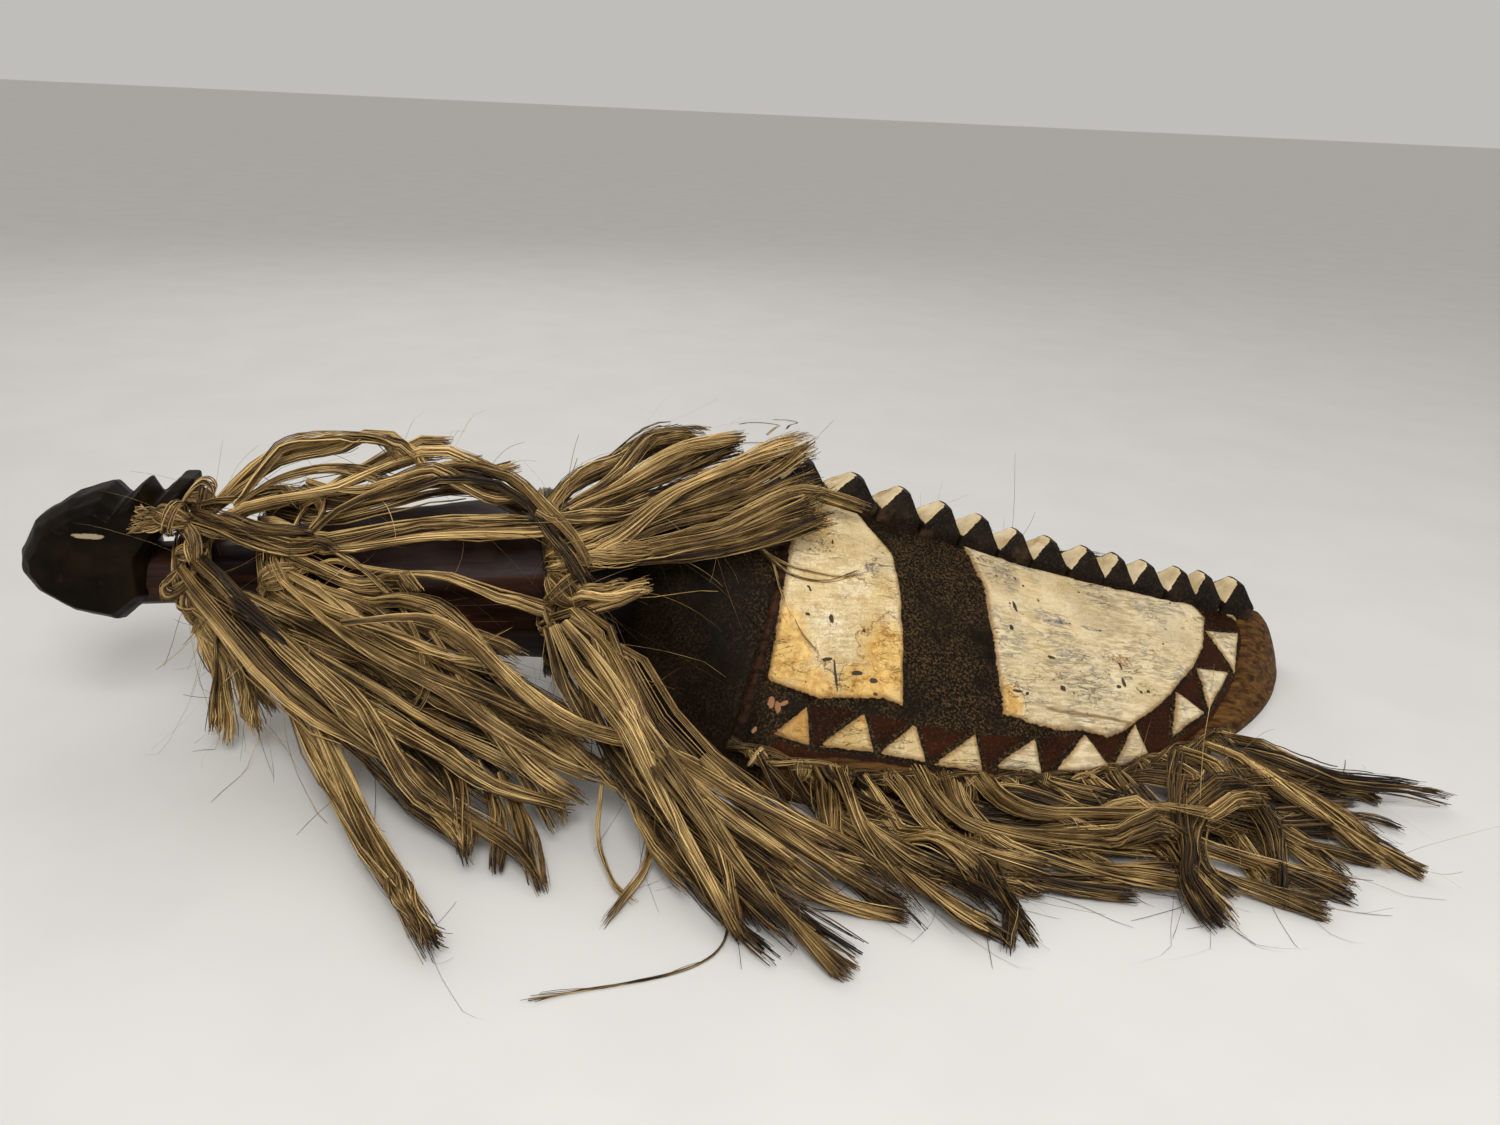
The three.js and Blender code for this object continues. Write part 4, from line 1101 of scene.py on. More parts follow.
def keptIn(points):
    # draws whatever strays too far outside the object's box back towards it
    low, high = (np.array(corner) * 1000 - chinPoint for corner in cadBox)
    over, under = np.maximum(points - high, 0), np.maximum(low - points, 0)
    proud, drawn = raffia["proud"], raffia["drawnOver"]
    return points - over + proud * np.tanh(over / drawn) + under - proud * np.tanh(under / drawn)


def stripPiece(name, locks, nodes, tree):
    points, edges, across, up, style, shade = [], [], [], [], [], []
    for one in locks:
        start, count = len(points), len(one["path"])
        points += list(one["path"])
        across += list(np.broadcast_to(one["across"], (count, 3)) / 1000)
        up += list(np.broadcast_to(one["up"], (count, 3)) / 1000)
        style += [one["style"]] * count
        shade += [one["shade"]] * count
        edges += [(start + k, start + k + 1) for k in range(count - 1)]
    made = meshObject(name, points, [], edges, {"across": across, "up": up, "style": style, "shade": shade})
    piece = runTree(made, tree, Half_width=raffia["halfWidth"] / 1000,
                    Half_thickness=raffia["halfThick"] / 1000,
                    Wave=raffia["wave"] / 1000, Seed=raffia["seed"])
    co = toFrame(woodTop(keptIn(readPoints(piece.data) * 1000 - chinPoint)))
    piece.data.vertices.foreach_set("co", co.ravel())
    piece.data.update()
    finishPiece(piece, nodes)
    stripCount.append(len(piece.data.polygons))
    return piece


def sectionsOf(node):
    # middle points and half-width vectors of a bundle's sections, from its tied end to its tip
    mesh = frame["nodes"][node].data
    co = readPoints(mesh) * 1000 - chinPoint
    places, which = np.unique(np.round(co, 3), axis=0, return_inverse=True)
    near = {k: set() for k in range(len(places))}
    for polygon in mesh.polygons:
        corners = {int(which.ravel()[k]) for k in polygon.vertices}
        for corner in corners:
            near[corner] |= corners - {corner}
    end = min(near, key=lambda k: np.linalg.norm(places[k] - places[list(near[k])].mean(0)))
    seen, front, middles, acrosses = {end}, [end], [], []
    while True:
        front = sorted({b for a in front for b in near[a]} - seen)
        seen |= set(front)
        if len(front) < 6:
            break
        middle = places[front].mean(0)
        reach = (places[front] - middle) * (1, 1, 0)
        middles.append(middle)
        acrosses.append(reach[np.argmax(np.linalg.norm(reach, axis=1))])
    middles, acrosses = np.array(middles), np.array(acrosses)
    if np.linalg.norm(acrosses[0]) > np.linalg.norm(acrosses[-1]):
        middles, acrosses = middles[::-1], acrosses[::-1]
    for k in range(1, len(acrosses)):
        if acrosses[k] @ acrosses[k - 1] < 0:
            acrosses[k] *= -1
    return middles, acrosses


def upsOf(middles, sides):
    ups = unit(np.cross(unit(np.gradient(middles, axis=0)), sides))
    return ups * np.where(ups[:, 2:] < 0, -1, 1)


# the line along the rim that the ties sit on: how far in from the edge, and where it moves outwards
rimLine = {"start": -455, "end": -110, "stations": 64, "inset": 11, "outward": 8.5,
           "outwardOver": (-400, -200),
           "lay": 64, "strand": 3.2, "apart": 2.5, "firstTie": -440}


def besideRim(x, side, standOff):
    y = side * (halfWidthAt(x) - rimLine["inset"] + rimLine["outward"] * ease(x, *rimLine["outwardOver"]))
    slopeX = (faceHeight(x + 1, y) - faceHeight(x - 1, y)) / 2
    slopeY = (faceHeight(x, y + 1) - faceHeight(x, y - 1)) / 2
    normal = unit(np.stack([-slopeX, -slopeY, np.ones_like(x)], -1))
    return np.stack([x, y, faceHeight(x, y)], -1) + normal * standOff, normal


def tied(node):
    # a bundle's sections, led back into the cord that it hangs from and on past its end where it goes on
    middles, acrosses = sectionsOf(node)
    x, y, z = middles[0]
    if "rim" in node:
        start = besideRim(np.array([x - 7]), np.sign(y), 5.0)[0][0] - (0, 0, 3)
    else:
        at, level, core, cord = min(rings.values(), key=lambda ring: abs(ring[0] - x))
        out = unit(np.array([0, y, z - level]))
        start = np.array([at, 0, level]) + out * (core + cord * 0.7)
    more = carriesOn.get(node, [])
    skip = 0
    if node in knottedAt:
        start, skip = knottedAt[node], 1
    begun = ease(np.linspace(0, 1, len(middles)), 0, 0.45)[:, None]
    middles = middles + np.array(nudged.get(node, (0, 0, 0))) * begun
    middles = np.vstack([start, middles[skip:], *more])
    return middles, np.vstack([acrosses[:1] * 0.8, acrosses[skip:], *[acrosses[-1]] * len(more)])


def bundleLocks(track, seed, locks=None, strips=None, fray=1.0, wave=1.0, drop=0.0, age=0.0, stations=15):
    middles, acrosses = (resample(part, stations) for part in track)
    locks, strips = locks or raffia["locks"], strips or raffia["strips"]
    rng = np.random.default_rng(seed)
    t = np.linspace(0, 1, stations)[:, None]
    widths, sides = np.linalg.norm(acrosses, axis=1)[:, None], unit(acrosses)
    ups = upsOf(middles, sides)
    begun = ease(t, 0, 0.3)
    made = []
    for k in range(locks):
        home = (k + 0.5) / locks * 2 - 1
        phase, pace = rng.uniform(0, 6.3, 2), rng.uniform(0.4, 1.0, 2)
        sway = home * (0.8 + 0.6 * wave * t) + 0.75 * wave * np.sin(phase[0] + 6.3 * pace[0] * t) * begun
        lift = np.sin(phase[1] + 6.3 * pace[1] * t)
        path = middles + sides * widths * sway + ups * (2.6 * lift + 1.2) - np.array([0, 0, drop]) * begun
        path = path + wave * 5.0 * np.stack([waver(path + 31 * k, 44, seed + j) for j in (1, 2, 3)], -1) * t
        end = stations - int(rng.integers(0, 3))
        size = rng.uniform(0.6, 1.4)
        half = np.maximum(widths * size / locks * 0.85, 2.4)
        made.append(lock(path[:end], (sides * half)[:end], ups[:end] * 2.6,
                         int(strips * (0.45 + 0.55 * size)),
                         twist=rng.uniform(-0.7, 0.7), fray=fray,
                         age=age + rng.choice([-0.2, 0.0, 0.25, 0.6])))
    return made


def between(first, second, share):
    # leaves with the first bundle and drifts over towards the second
    t = np.linspace(0, 1, 12)
    mids, acrosses = (np.array([resample(part, 12) for part in track]) for track in zip(first, second))
    drift = (share * ease(t, 0.05, 0.8))[:, None]
    side = acrosses[0] if acrosses[0][6] @ acrosses[1][6] > 0 else -acrosses[0]
    return mids[0] * (1 - drift) + mids[1] * drift, side


hair = {"reach": (20, 70), "sag": 12, "stray": 0.55, "crook": 0.45, "half": 0.6}


def strayHairs(track, count, seed):
    middles = resample(track[0], 40)
    rng = np.random.default_rng(seed)
    hairs = []
    for _ in range(count):
        at = int(rng.integers(2, 36))
        heading = unit(unit(middles[min(at + 4, 39)] - middles[at - 1]) + rng.normal(0, hair["stray"], 3))
        reach, s = rng.uniform(*hair["reach"]), np.linspace(0, 1, 10)[:, None]
        path = middles[at] + reach * (heading * s + rng.normal(0, hair["crook"], 3) * s ** 2)
        path = path - np.array([0, 0, hair["sag"]]) * s ** 2
        hairs.append(lock(path, np.array([hair["half"], 0, 0]), np.array([0, 0, hair["half"]]), 1,
                          scale=0.42, fray=0.3, age=0.25))
    return hairs


stripCount = []
raffiaPaint = raffiaFinish("raffiaStrips", (0.95, 0.665, 0.275), (0.270, 0.150, 0.041),
                           (0.020, 0.0092, 0.0028))
strips = stripTree("raffiaStrips", raffiaPaint)
frays = {"throat_tuft": 1.0, "shoulder_tuft": 1.0, "waist_tuft": 1.1, "torso_tuft": 0.5, "rim_tuft": 1.1,
         "far_rim_tuft": 1.0, "far_tuft": 1.0}
rings = {"throat_cord": (-781, 100, 21, 7), "shoulder_cord": (-737, 99, 31, 7),
         "waist_cord": (-562, 90, 57, 8)}
carriesOn = {"torso_tuft_05": [(-642, -28, 162)], "throat_tuft_03": [(-612, -284, 4)],
             "torso_tuft_02": [(-566, -58, 152), (-551, -70, 138), (-538, -80, 118)],
             "torso_tuft_01": [(-560, -64, 148), (-530, -60, 150)]}
collarKnot, shoulderKnot, topKnot = (-788, -34, 149), (-726, -54, 118), (-709, -24, 156)
upperKnot, crownKnot = (-556, -62, 128), (-552, -54, 144)
waistKnot, lowKnot = (-557, -78, 114), (-561, -78, 93)
knottedAt = {"shoulder_tuft_02": shoulderKnot, "shoulder_tuft_03": shoulderKnot, "torso_tuft_03": topKnot,
             "waist_tuft_02": lowKnot, "waist_tuft_03": waistKnot, "waist_tuft_01": lowKnot,
             "waist_tuft_05": upperKnot,
             "waist_tuft_06": upperKnot, "waist_tuft_07": crownKnot, "waist_tuft_08": crownKnot}
nudged = {"waist_tuft_01": (13, 2, 0), "waist_tuft_02": (-4, -2, -2), "waist_tuft_03": (-12, -5, -5)}
tracks = {node: tied(node) for node in sorted(frame["nodes"]) if node.rsplit("_", 1)[0] in frays}
for number, (node, track) in enumerate(tracks.items()):
    words = node.split("_")
    full = 5 if node in ("waist_tuft_05", "waist_tuft_06", "waist_tuft_07", "waist_tuft_08") else 3
    onFar = "far" in node
    made = bundleLocks(track, 100 + number, full, 34 if onFar else None, frays[node.rsplit("_", 1)[0]],
                       0.5 if "rim" in node else 0.9)
    stripPiece(words[0] + "".join(word.capitalize() for word in words[1:]),
               made + strayHairs(track, raffia["hairs"], 300 + number), [node], strips)
print("the bundles are hung:", sum(stripCount), "faces")

# the thinner bundles that lie under and between the others, darkened as painted shade
underLayers = {
    "throatUnderlayer": [("throat_tuft_04", "throat_tuft_05", 0.5),
                         ("throat_tuft_05", "shoulder_tuft_02", 0.5)],
    "shoulderUnderlayer": [("shoulder_tuft_01", "throat_tuft_05", 0.5),
                           ("shoulder_tuft_01", "shoulder_tuft_03", 0.6),
                           ("shoulder_tuft_01", "shoulder_tuft_02", 0.5),
                           ("shoulder_tuft_02", "shoulder_tuft_04", 0.4),
                           ("shoulder_tuft_02", "shoulder_tuft_03", 0.5),
                           ("shoulder_tuft_03", "waist_tuft_03", 0.3)],
    "waistUnderlayer": [("waist_tuft_01", "waist_tuft_02", 0.5),
                        ("waist_tuft_02", "waist_tuft_03", 0.5), ("waist_tuft_03", "rim_tuft_01", 0.5)],
    "crownUnderlayer": [("waist_tuft_05", "waist_tuft_06", 0.5), ("waist_tuft_06", "waist_tuft_07", 0.4),
                        ("waist_tuft_06", "waist_tuft_05", 0.3), ("waist_tuft_07", "waist_tuft_08", 0.5),
                        ("waist_tuft_07", "waist_tuft_06", 0.6), ("torso_tuft_02", "torso_tuft_03", 0.5)],
}
for number, (name, pairs) in enumerate(underLayers.items()):
    made = []
    for k, (first, second, share) in enumerate(pairs):
        track = between(tracks[first], tracks[second], share)
        # painted shade: their darkening stands for the shade between the bundles lying over them
        made += bundleLocks(track, 500 + 20 * number + k, locks=3, strips=34, fray=1.1, wave=1.2, drop=6,
                            age=0.4)
        made += strayHairs(track, 5, 700 + 20 * number + k)
    stripPiece(name, made, [], strips)


def fringeLocks(side, step, strips, seed):
    # short bundles tied along the rim, most of them combed towards the chin, the others straight out
    rng = np.random.default_rng(seed)
    made = []
    for x in np.arange(rimLine["firstTie"], -112, step):
        start = besideRim(np.array([x]), side, 7.0)[0][0]
        late = float(ease(x, -300, -150))
        swept = rng.uniform() < 0.66 - 0.1 * late
        run = rng.uniform(95, 150 + 30 * late) if swept else rng.uniform(5, 40)
        out = rng.uniform(34, 66 + 20 * late) if swept else rng.uniform(64, 96 + 16 * late)
        layer = rng.uniform(2, 13)
        edge = halfWidthAt(np.array([x]))[0]
        turnIn = 8 * late if swept else 0
        path = [start, (x + 2, side * (edge + 4), start[2] - 4),
                (x + 0.10 * run + 4, side * (edge + 0.42 * out), layer + 7),
                (x + 0.36 * run, side * (edge + 0.78 * out), layer + 4),
                (x + 0.70 * run, side * (edge + out - turnIn), layer + 2),
                (x + run, side * (edge + out * rng.uniform(0.9, 1.12) - 1.8 * turnIn), rng.uniform(1, 5))]
        path = np.array([np.ravel(point) for point in path], float)
        widths = np.array([3, 5, 8, 9, 8.5, 8])
        sides = unit(np.cross(np.gradient(path, axis=0), (0, 0, 1)))
        track = path, sides * widths[:, None]
        # their darkening is partly older raffia, partly painted shade over the fringe
        made += bundleLocks(track, seed + int(-x), 2, strips, fray=0.9, wave=0.6 - 0.25 * late,
                            age=rng.uniform(0.38, 0.73),
                            stations=14)
        made += strayHairs(track, 2, seed + 900 + int(-x))
    return made


stripPiece("nearRimFringe", fringeLocks(-1, 19, 32, 2), [], strips)
stripPiece("farRimFringe", fringeLocks(1, 26, 26, 3), [], strips)
print("with the bundles underneath:", sum(stripCount), "faces")


# hanks led one by one, over the others

def settled(path, half):
    # raises a hank a little where it would run through a bundle that lies under it
    spots = np.concatenate([resample(track[0], 40) for track in tracks.values()])
    radii = np.concatenate([np.linalg.norm(resample(track[1], 40), axis=1) for track in tracks.values()])
    apartBy = np.linalg.norm(path[:, None, :2] - spots[None, :, :2], axis=2)
    lift = np.where(apartBy < radii[None] + 1, spots[None, :, 2] + 4 + 0.5 * half - path[:, 2:], 0)
    lift = np.max(np.where(lift < 16, lift, 0), axis=1)
    lift = np.convolve(np.pad(np.maximum(lift, 0), 2, "edge"), np.ones(5) / 5, "valid")
    return path + np.stack([0 * lift, -0.25 * lift, lift], -1)


# each hank: its points, half width, strips, fray and age; the points are in millimetres, or where readOff
# takes them, readings of the photo: across and down in its 1500 x 1125 pixels, and a height in millimetres
ledHanks = [
    ([(-721, -56, 112), (-713, -64, 110), (-688, -74, 96), (-668, -84, 80), (-631, -92, 62), (-592, -122, 40),
      (-571, -150, 22), (-560, -176, 8)], 5.0, 60, 0.6, -0.15),
    ([(-766, -40, 112), (-754, -52, 106), (-735, -60, 96), (-694, -66, 74), (-664, -84, 50), (-634, -112, 32),
      (-614, -150, 12)], 5.0, 60, 0.9, 0.05),
    ([(-766, -38, 108), (-758, -50, 98), (-752, -54, 74), (-738, -60, 52), (-722, -66, 44), (-692, -78, 38),
      (-654, -104, 32), (-629, -128, 20)], 4.5, 50, 1.0, 0.1),
    ([(-690, -66, 104), (-678, -76, 106), (-658, -82, 108), (-640, -80, 102), (-620, -84, 88),
      (-598, -102, 64), (-566, -122, 46), (-545, -146, 28)], 5.0, 60, 0.8, 0.0),
    ([(-704, -62, 108), (-696, -70, 106), (-673, -76, 96), (-645, -90, 80), (-616, -112, 56),
      (-586, -144, 28), (-564, -186, 9)], 4.5, 50, 1.0, 0.2),
    ([(-716, -54, 116), (-697, -54, 123), (-686, -56, 123), (-656, -62, 121), (-630, -63, 119),
      (-611, -67, 113), (-592, -72, 106), (-568, -80, 99), (-545, -84, 97), (-522, -84, 102),
      (-504, -82, 108)], 3.8, 44, 0.5, -0.1),
    ([(-720, -48, 128), (-704, -52, 132), (-675, -64, 119), (-660, -76, 111), (-651, -84, 102),
      (-642, -96, 87), (-639, -106, 72), (-641, -111, 62), (-646, -114, 55)], 2.6, 26, 0.6, 0.1),
    ([(-778, -28, 150), (-770, -38, 152), (-757, -42, 150), (-740, -46, 146), (-722, -48, 143),
      (-704, -48, 138)], 5.5, 64, 0.8, 0.42),
    ([(-780, -34, 146), (-763, -42, 145), (-744, -46, 139), (-722, -50, 133), (-704, -54, 129),
      (-690, -56, 126)], 5.0, 56, 0.8, 0.5),
    ([(-776, -26, 154), (-760, -28, 158), (-745, -30, 158), (-728, -32, 156), (-714, -36, 150)], 4.0, 40, 1.1,
     0.4),
    ([(-706, -46, 142), (-690, -42, 154), (-661, -36, 165), (-637, -30, 173), (-617, -26, 175),
      (-598, -30, 171), (-582, -40, 165), (-565, -60, 151), (-551, -70, 138), (-540, -80, 118)], 4.2, 50, 0.4,
     0.15),
    ([(-710, -26, 158), (-686, -32, 154), (-662, -32, 160), (-638, -30, 165), (-613, -34, 161),
      (-589, -38, 157), (-570, -44, 150)], 4.5, 50, 0.7, 0.2),
    ([(-752, -30, 154), (-736, -24, 170), (-717, -14, 184), (-686, -16, 185), (-661, -22, 181),
      (-645, -28, 173)], 5.0, 50, 0.7, 0.0),
    ([(-752, -34, 152), (-733, -30, 168), (-702, -26, 177), (-673, -28, 173), (-655, -32, 166)], 3.8, 40, 1.0,
     0.15),
    ([(-560, -66, 122), (-541, -68, 128), (-520, -64, 143), (-498, -58, 160), (-476, -52, 172),
      (-446, -42, 183), (-415, -32, 193), (-394, -24, 202)], 7.5, 100, 0.9, -0.15),
    ([(-560, -68, 118), (-542, -72, 124), (-513, -72, 132), (-484, -68, 141), (-455, -61, 147),
      (-424, -49, 159), (-400, -40, 163), (-368, -34, 152), (-352, -32, 146)], 5.5, 70, 0.9, -0.05),
    ([(-560, -70, 116), (-542, -74, 122), (-520, -74, 126), (-502, -72, 130)], 4.5, 44, 1.0, 0.0),
    ([(-572, -60, 148), (-562, -64, 149), (-541, -61, 150), (-519, -54, 153), (-500, -50, 160)], 4.5, 50, 0.8,
     0.1),
    ([(-552, -54, 146), (-530, -50, 164), (-512, -42, 173), (-481, -30, 188), (-458, -20, 191),
      (-434, -10, 192)], 4.5, 54, 0.9, -0.05),
    ([(-552, -50, 150), (-535, -46, 162), (-518, -36, 178), (-501, -22, 195), (-480, -12, 200),
      (-458, -2, 194)], 5.0, 56, 0.9, 0.3),
    ([(-768, -46, 100), (-764, -52, 96), (-768, -58, 66), (-772, -62, 36), (-773, -66, 10)], 2.4, 22, 1.2,
     0.25),
    ([(-762, -48, 98), (-757, -58, 72), (-751, -64, 44), (-745, -68, 16)], 2.4, 22, 1.2, 0.2),
    ([(-752, -50, 96), (-746, -60, 78), (-743, -64, 46)], 2.2, 18, 1.3, 0.3),
    ([(-716, -88, 44), (-705, -104, 32), (-688, -138, 17), (-666, -187, 9), (-643, -232, 5), (-624, -268, 4)],
     4.0, 46, 0.9, 0.1),
] + readOff([
    ([(554.7, 625.9, 108), (579, 674, 84), (612, 719, 66), (642, 767, 48), (672, 822, 32), (702, 876, 16),
      (738.4, 942.2, 5)], 5.5, 64, 0.6, -0.1),
    ([(564, 623, 112), (594, 659, 96), (624, 701, 78), (648, 749, 56), (684, 786, 44), (738, 834, 30),
      (793, 876, 14)], 5.5, 64, 0.6, -0.05),
    ([(570, 620, 112), (603, 644, 100), (628.8, 686.1, 84), (652.9, 737.3, 62), (702, 773, 52),
      (769, 810, 40), (840.8, 848.8, 24)], 5.0, 60, 0.6, 0.05),
    ([(220, 575, 104), (269, 641, 86), (329, 689, 68), (389.0, 725.3, 56), (443, 755, 46), (491.4, 785.5, 34),
      (575.8, 809.6, 18)], 5.0, 56, 0.6, 0.0),
    ([(238, 599, 100), (287, 653, 80), (341, 713, 58), (401, 761, 40), (455.3, 809.6, 24), (516, 852, 12),
      (545.7, 888.0, 5)], 4.5, 52, 0.8, 0.15),
    ([(250.5, 604.8, 100), (311, 659, 82), (358.9, 701.2, 66), (413, 786, 34), (467, 822, 16),
      (467.3, 866.9, 5)], 4.5, 52, 0.8, 0.3),
    ([(269, 575, 118), (329, 623, 104), (383, 659, 88), (443, 689, 72), (491, 725, 56), (552, 761, 40),
      (606, 792, 24)], 4.5, 52, 0.7, 0.0),
    ([(341, 623, 112), (419, 617, 112), (461, 635, 106), (503, 671, 92), (552, 713, 74), (612, 743, 58),
      (648, 761, 44)], 4.5, 52, 0.7, -0.05),
    ([(431, 641, 88), (467, 683, 72), (503, 737, 50), (540, 773, 36), (588, 804, 22)], 4.5, 50, 0.8, 0.15),
    ([(546, 629, 96), (564, 683, 72), (594, 725, 52), (616, 765, 38)], 5.0, 50, 0.8, 0.35),
    ([(520, 690, 66), (560, 735, 48), (600, 775, 32), (636, 802, 18)], 4.5, 46, 0.9, 0.2),
]) + [
    ([(-648, -222, 8), (-638, -243, 6), (-623, -270, 3)], 7, 56, 1.0, 0.5),
    ([(-634, -126, 32), (-619, -164, 18), (-613, -207, 4)], 5.5, 50, 1.0, 0.45),
    ([(-610, -140, 32), (-597, -176, 18), (-597, -210, 4)], 5, 44, 1.0, 0.5),
    ([(-596, -147, 28), (-582, -184, 14), (-572, -228, 3)], 5, 44, 1.1, 0.45),
]
# the hanks along the near rim, laid out in the same way
fringeHanks = readOff([
    ([(919, 770, 20), (940, 800, 26), (975, 826, 24), (1040.0, 837.7, 20), (1110, 840, 16), (1182, 840, 12)],
     9, 120, 0.35, -0.1),
    ([(947, 777, 18), (965, 812, 22), (1003, 845, 18), (1059, 863, 14), (1115, 873, 12), (1178, 877, 8)], 8,
     110, 0.35, 0.0),
    ([(914, 784, 16), (942, 831, 16), (993, 866, 12), (1068, 884, 8), (1138, 889, 5)], 8, 90, 0.4, 0.1),
    ([(844, 821, 18), (914, 856, 14), (984, 880, 10), (1044.65, 886.65, 6)], 8, 90, 0.4, 0.15),
    ([(830, 758, 18), (846, 789, 24), (867, 831, 22), (900, 861, 14), (937, 877, 8)], 9, 110, 0.6, 0.0),
    ([(821, 763, 16), (830.0, 807.3, 20), (839, 840, 16), (881, 863, 10), (946.7, 879.7, 6)], 7, 80, 0.6,
     0.2),
    ([(746.0, 793.3, 30), (788, 840, 20), (853, 861, 14), (919, 874, 8), (979, 875, 5)], 8, 90, 0.5, 0.1),
    ([(755, 849, 20), (807, 887, 12), (863, 908, 6), (910, 916, 4)], 7, 70, 0.5, 0.05),
    ([(979.3, 777.0, 18), (1003, 800, 24), (1044.6, 813.4, 26), (1110, 812, 24), (1171, 813, 20),
      (1254.6, 828.3, 12)], 8, 100, 0.35, -0.05),
    ([(1133.3, 788.7, 16), (1180.0, 835.3, 14), (1231, 856, 12), (1282.6, 870.3, 8), (1357.3, 893.7, 4)], 8,
     80, 0.4, 0.1),
    ([(1087, 784, 16), (1161, 854, 10), (1222, 880, 7), (1278, 897, 5), (1334, 911, 4)], 8, 80, 0.4, 0.15),
    ([(1208, 779, 16), (1282.6, 835.3, 14), (1334.0, 851.7, 8), (1379.7, 862.4, 4)], 7, 60, 0.4, 0.2),
    ([(1220, 740, 16), (1259, 777, 16), (1306, 810, 12), (1362.0, 842.3, 8), (1428, 876, 3)], 7, 80, 0.35,
     0.0),
    ([(1236, 744, 16), (1273, 771, 16), (1320, 777, 12), (1355.0, 789.6, 8), (1383.0, 803.6, 4)], 6, 60, 0.5,
     0.25),
    ([(1240.63, 746.66, 14), (1278.0, 788.7, 12), (1324.6, 812.0, 8), (1367, 818, 6), (1407.2, 831.6, 3)],
     2.5, 22, 0.5, 0.2),
    ([(1227, 765, 18), (1255, 803, 18), (1275.6, 835.3, 16), (1282.6, 868.0, 10), (1281.7, 905.3, 4)], 6, 60,
     0.7, 0.55),
    ([(1178, 756, 14), (1179.0, 802.7, 20), (1186.972, 849.323, 20), (1190, 884, 12), (1226.6, 929.6, 3)], 7,
     90, 0.5, 0.5),
    ([(970, 784, 16), (979, 854, 16), (1000, 891, 8), (1036, 946, 3)], 6, 70, 0.8, 0.5),
    ([(965.3, 788.7, 14), (988.7, 863.3, 12), (1010, 901, 6), (1006, 954, 3)], 4, 40, 0.9, 0.55),
    ([(1208.0, 774.7, 14), (1203, 807, 16), (1196.304, 844.657, 18), (1208, 875, 10), (1238.3, 896.9, 4)], 6,
     60, 0.5, 0.15),
    ([(1114.6, 774.7, 14), (1133, 793, 14), (1152, 812, 12), (1180, 840, 10)], 7, 70, 0.5, 0.1),
    ([(1021, 770, 14), (1058.65, 788.66, 16), (1115, 800, 16), (1180.0, 814.3, 14), (1231, 822, 12)], 6, 60,
     0.5, 0.2),
]) + [
    ([(-508, -193, 60), (-488, -213, 40), (-468, -244, 22), (-445, -280, 10), (-424, -309, 4)], 7.5, 100, 0.4,
     0.0),
    ([(-517, -165, 70), (-492, -200, 44), (-479, -231, 26), (-474, -274, 5)], 6, 70, 0.4, 0.1),
    ([(-485, -188, 56), (-450, -218, 34), (-415, -242, 16), (-383, -262, 4)], 6.5, 76, 0.4, 0.05),
] + readOff([
    ([(877, 765, 18), (904.7, 788.7, 24), (933, 826, 24), (984, 854, 20), (1049, 870, 14)], 7, 90, 0.5,
     -0.05),
])


def ledLocks(table, stations, facing, settle, older=0.0):
    made = []
    for points, half, count, fray, age in table:
        path = resample(np.array(points, float), stations)
        if settle:
            path = settled(path, half)
        sides = unit(np.cross(np.gradient(path, axis=0), facing))
        thick = unit(np.cross(np.gradient(path, axis=0), sides))
        swell = (0.75 + 0.35 * np.sin(np.linspace(0, 5.5, stations) + half))[:, None]
        made.append(lock(path, sides * half * swell, thick * half * 0.55, count, twist=0.35, fray=fray,
                         age=age + older))
    return made


for name, part in [("bustHanks", ledHanks[:20]), ("sideHanks", ledHanks[20:])]:
    stripPiece(name, ledLocks(part, 20, (0.15, -0.75, 0.65), True), [], strips)
# the fringe hanks are darkened further: partly older raffia, partly painted shade
stripPiece("fringeHanks", ledLocks(fringeHanks, 15, (0.1, -0.5, 0.85), False, older=0.25), [], strips)
print("the hanks on top are led:", sum(stripCount), "faces")


# cords wound round the bust and twisted along the rim

def woundRing(ring, seed, turns=5, turnsEach=1.08):
    x, z, core, cord = ring
    rng = np.random.default_rng(seed)
    made = []
    for k in range(turns):
        angle = np.linspace(0, 2 * math.pi * turnsEach, 46) + rng.uniform(0, 6.3)
        side = (k + 0.5) / turns * 2 - 1
        lower = 1 - 0.95 * ease(np.cos(angle), 0.2, 0.9) * (core > 50)
        radius = core + cord * (1.0 + 0.45 * math.cos(side * 1.4)) * lower + 0.8 * np.sin(3 * angle + k)
        out = np.stack([0 * angle, np.sin(angle), np.cos(angle)], -1)
        sway = (side * 0.8 + 0.25 * np.sin(2 * angle + rng.uniform(0, 6.3))) * cord
        path = np.array([x, 0, z]) + out * radius[:, None] + np.array([1, 0, 0]) * sway[:, None]
        made.append(lock(path, np.array([3.4, 0, 0]), out * 3.2, 20, twist=rng.uniform(1, 2), fray=0.0,
                         age=rng.uniform(0.1, 0.4)))
    return made


def rimCordLocks(side):
    x = np.linspace(rimLine["start"], rimLine["end"], rimLine["stations"])
    centre, normal = besideRim(x, side, 6.5)
    along = unit(np.gradient(centre, axis=0))
    flat = np.cross(along, normal)
    run = np.cumsum(np.linalg.norm(np.gradient(centre, axis=0), axis=1))
    made = []
    for k in range(2):
        angle = run / rimLine["lay"] * 2 * math.pi + k * math.pi
        offset = rimLine["apart"] * (flat * np.cos(angle)[:, None] + normal * np.sin(angle)[:, None])
        made.append(lock(centre + offset, flat * rimLine["strand"], normal * rimLine["strand"], 20,
                         twist=2.0, fray=0.15, age=0.35))
    return made


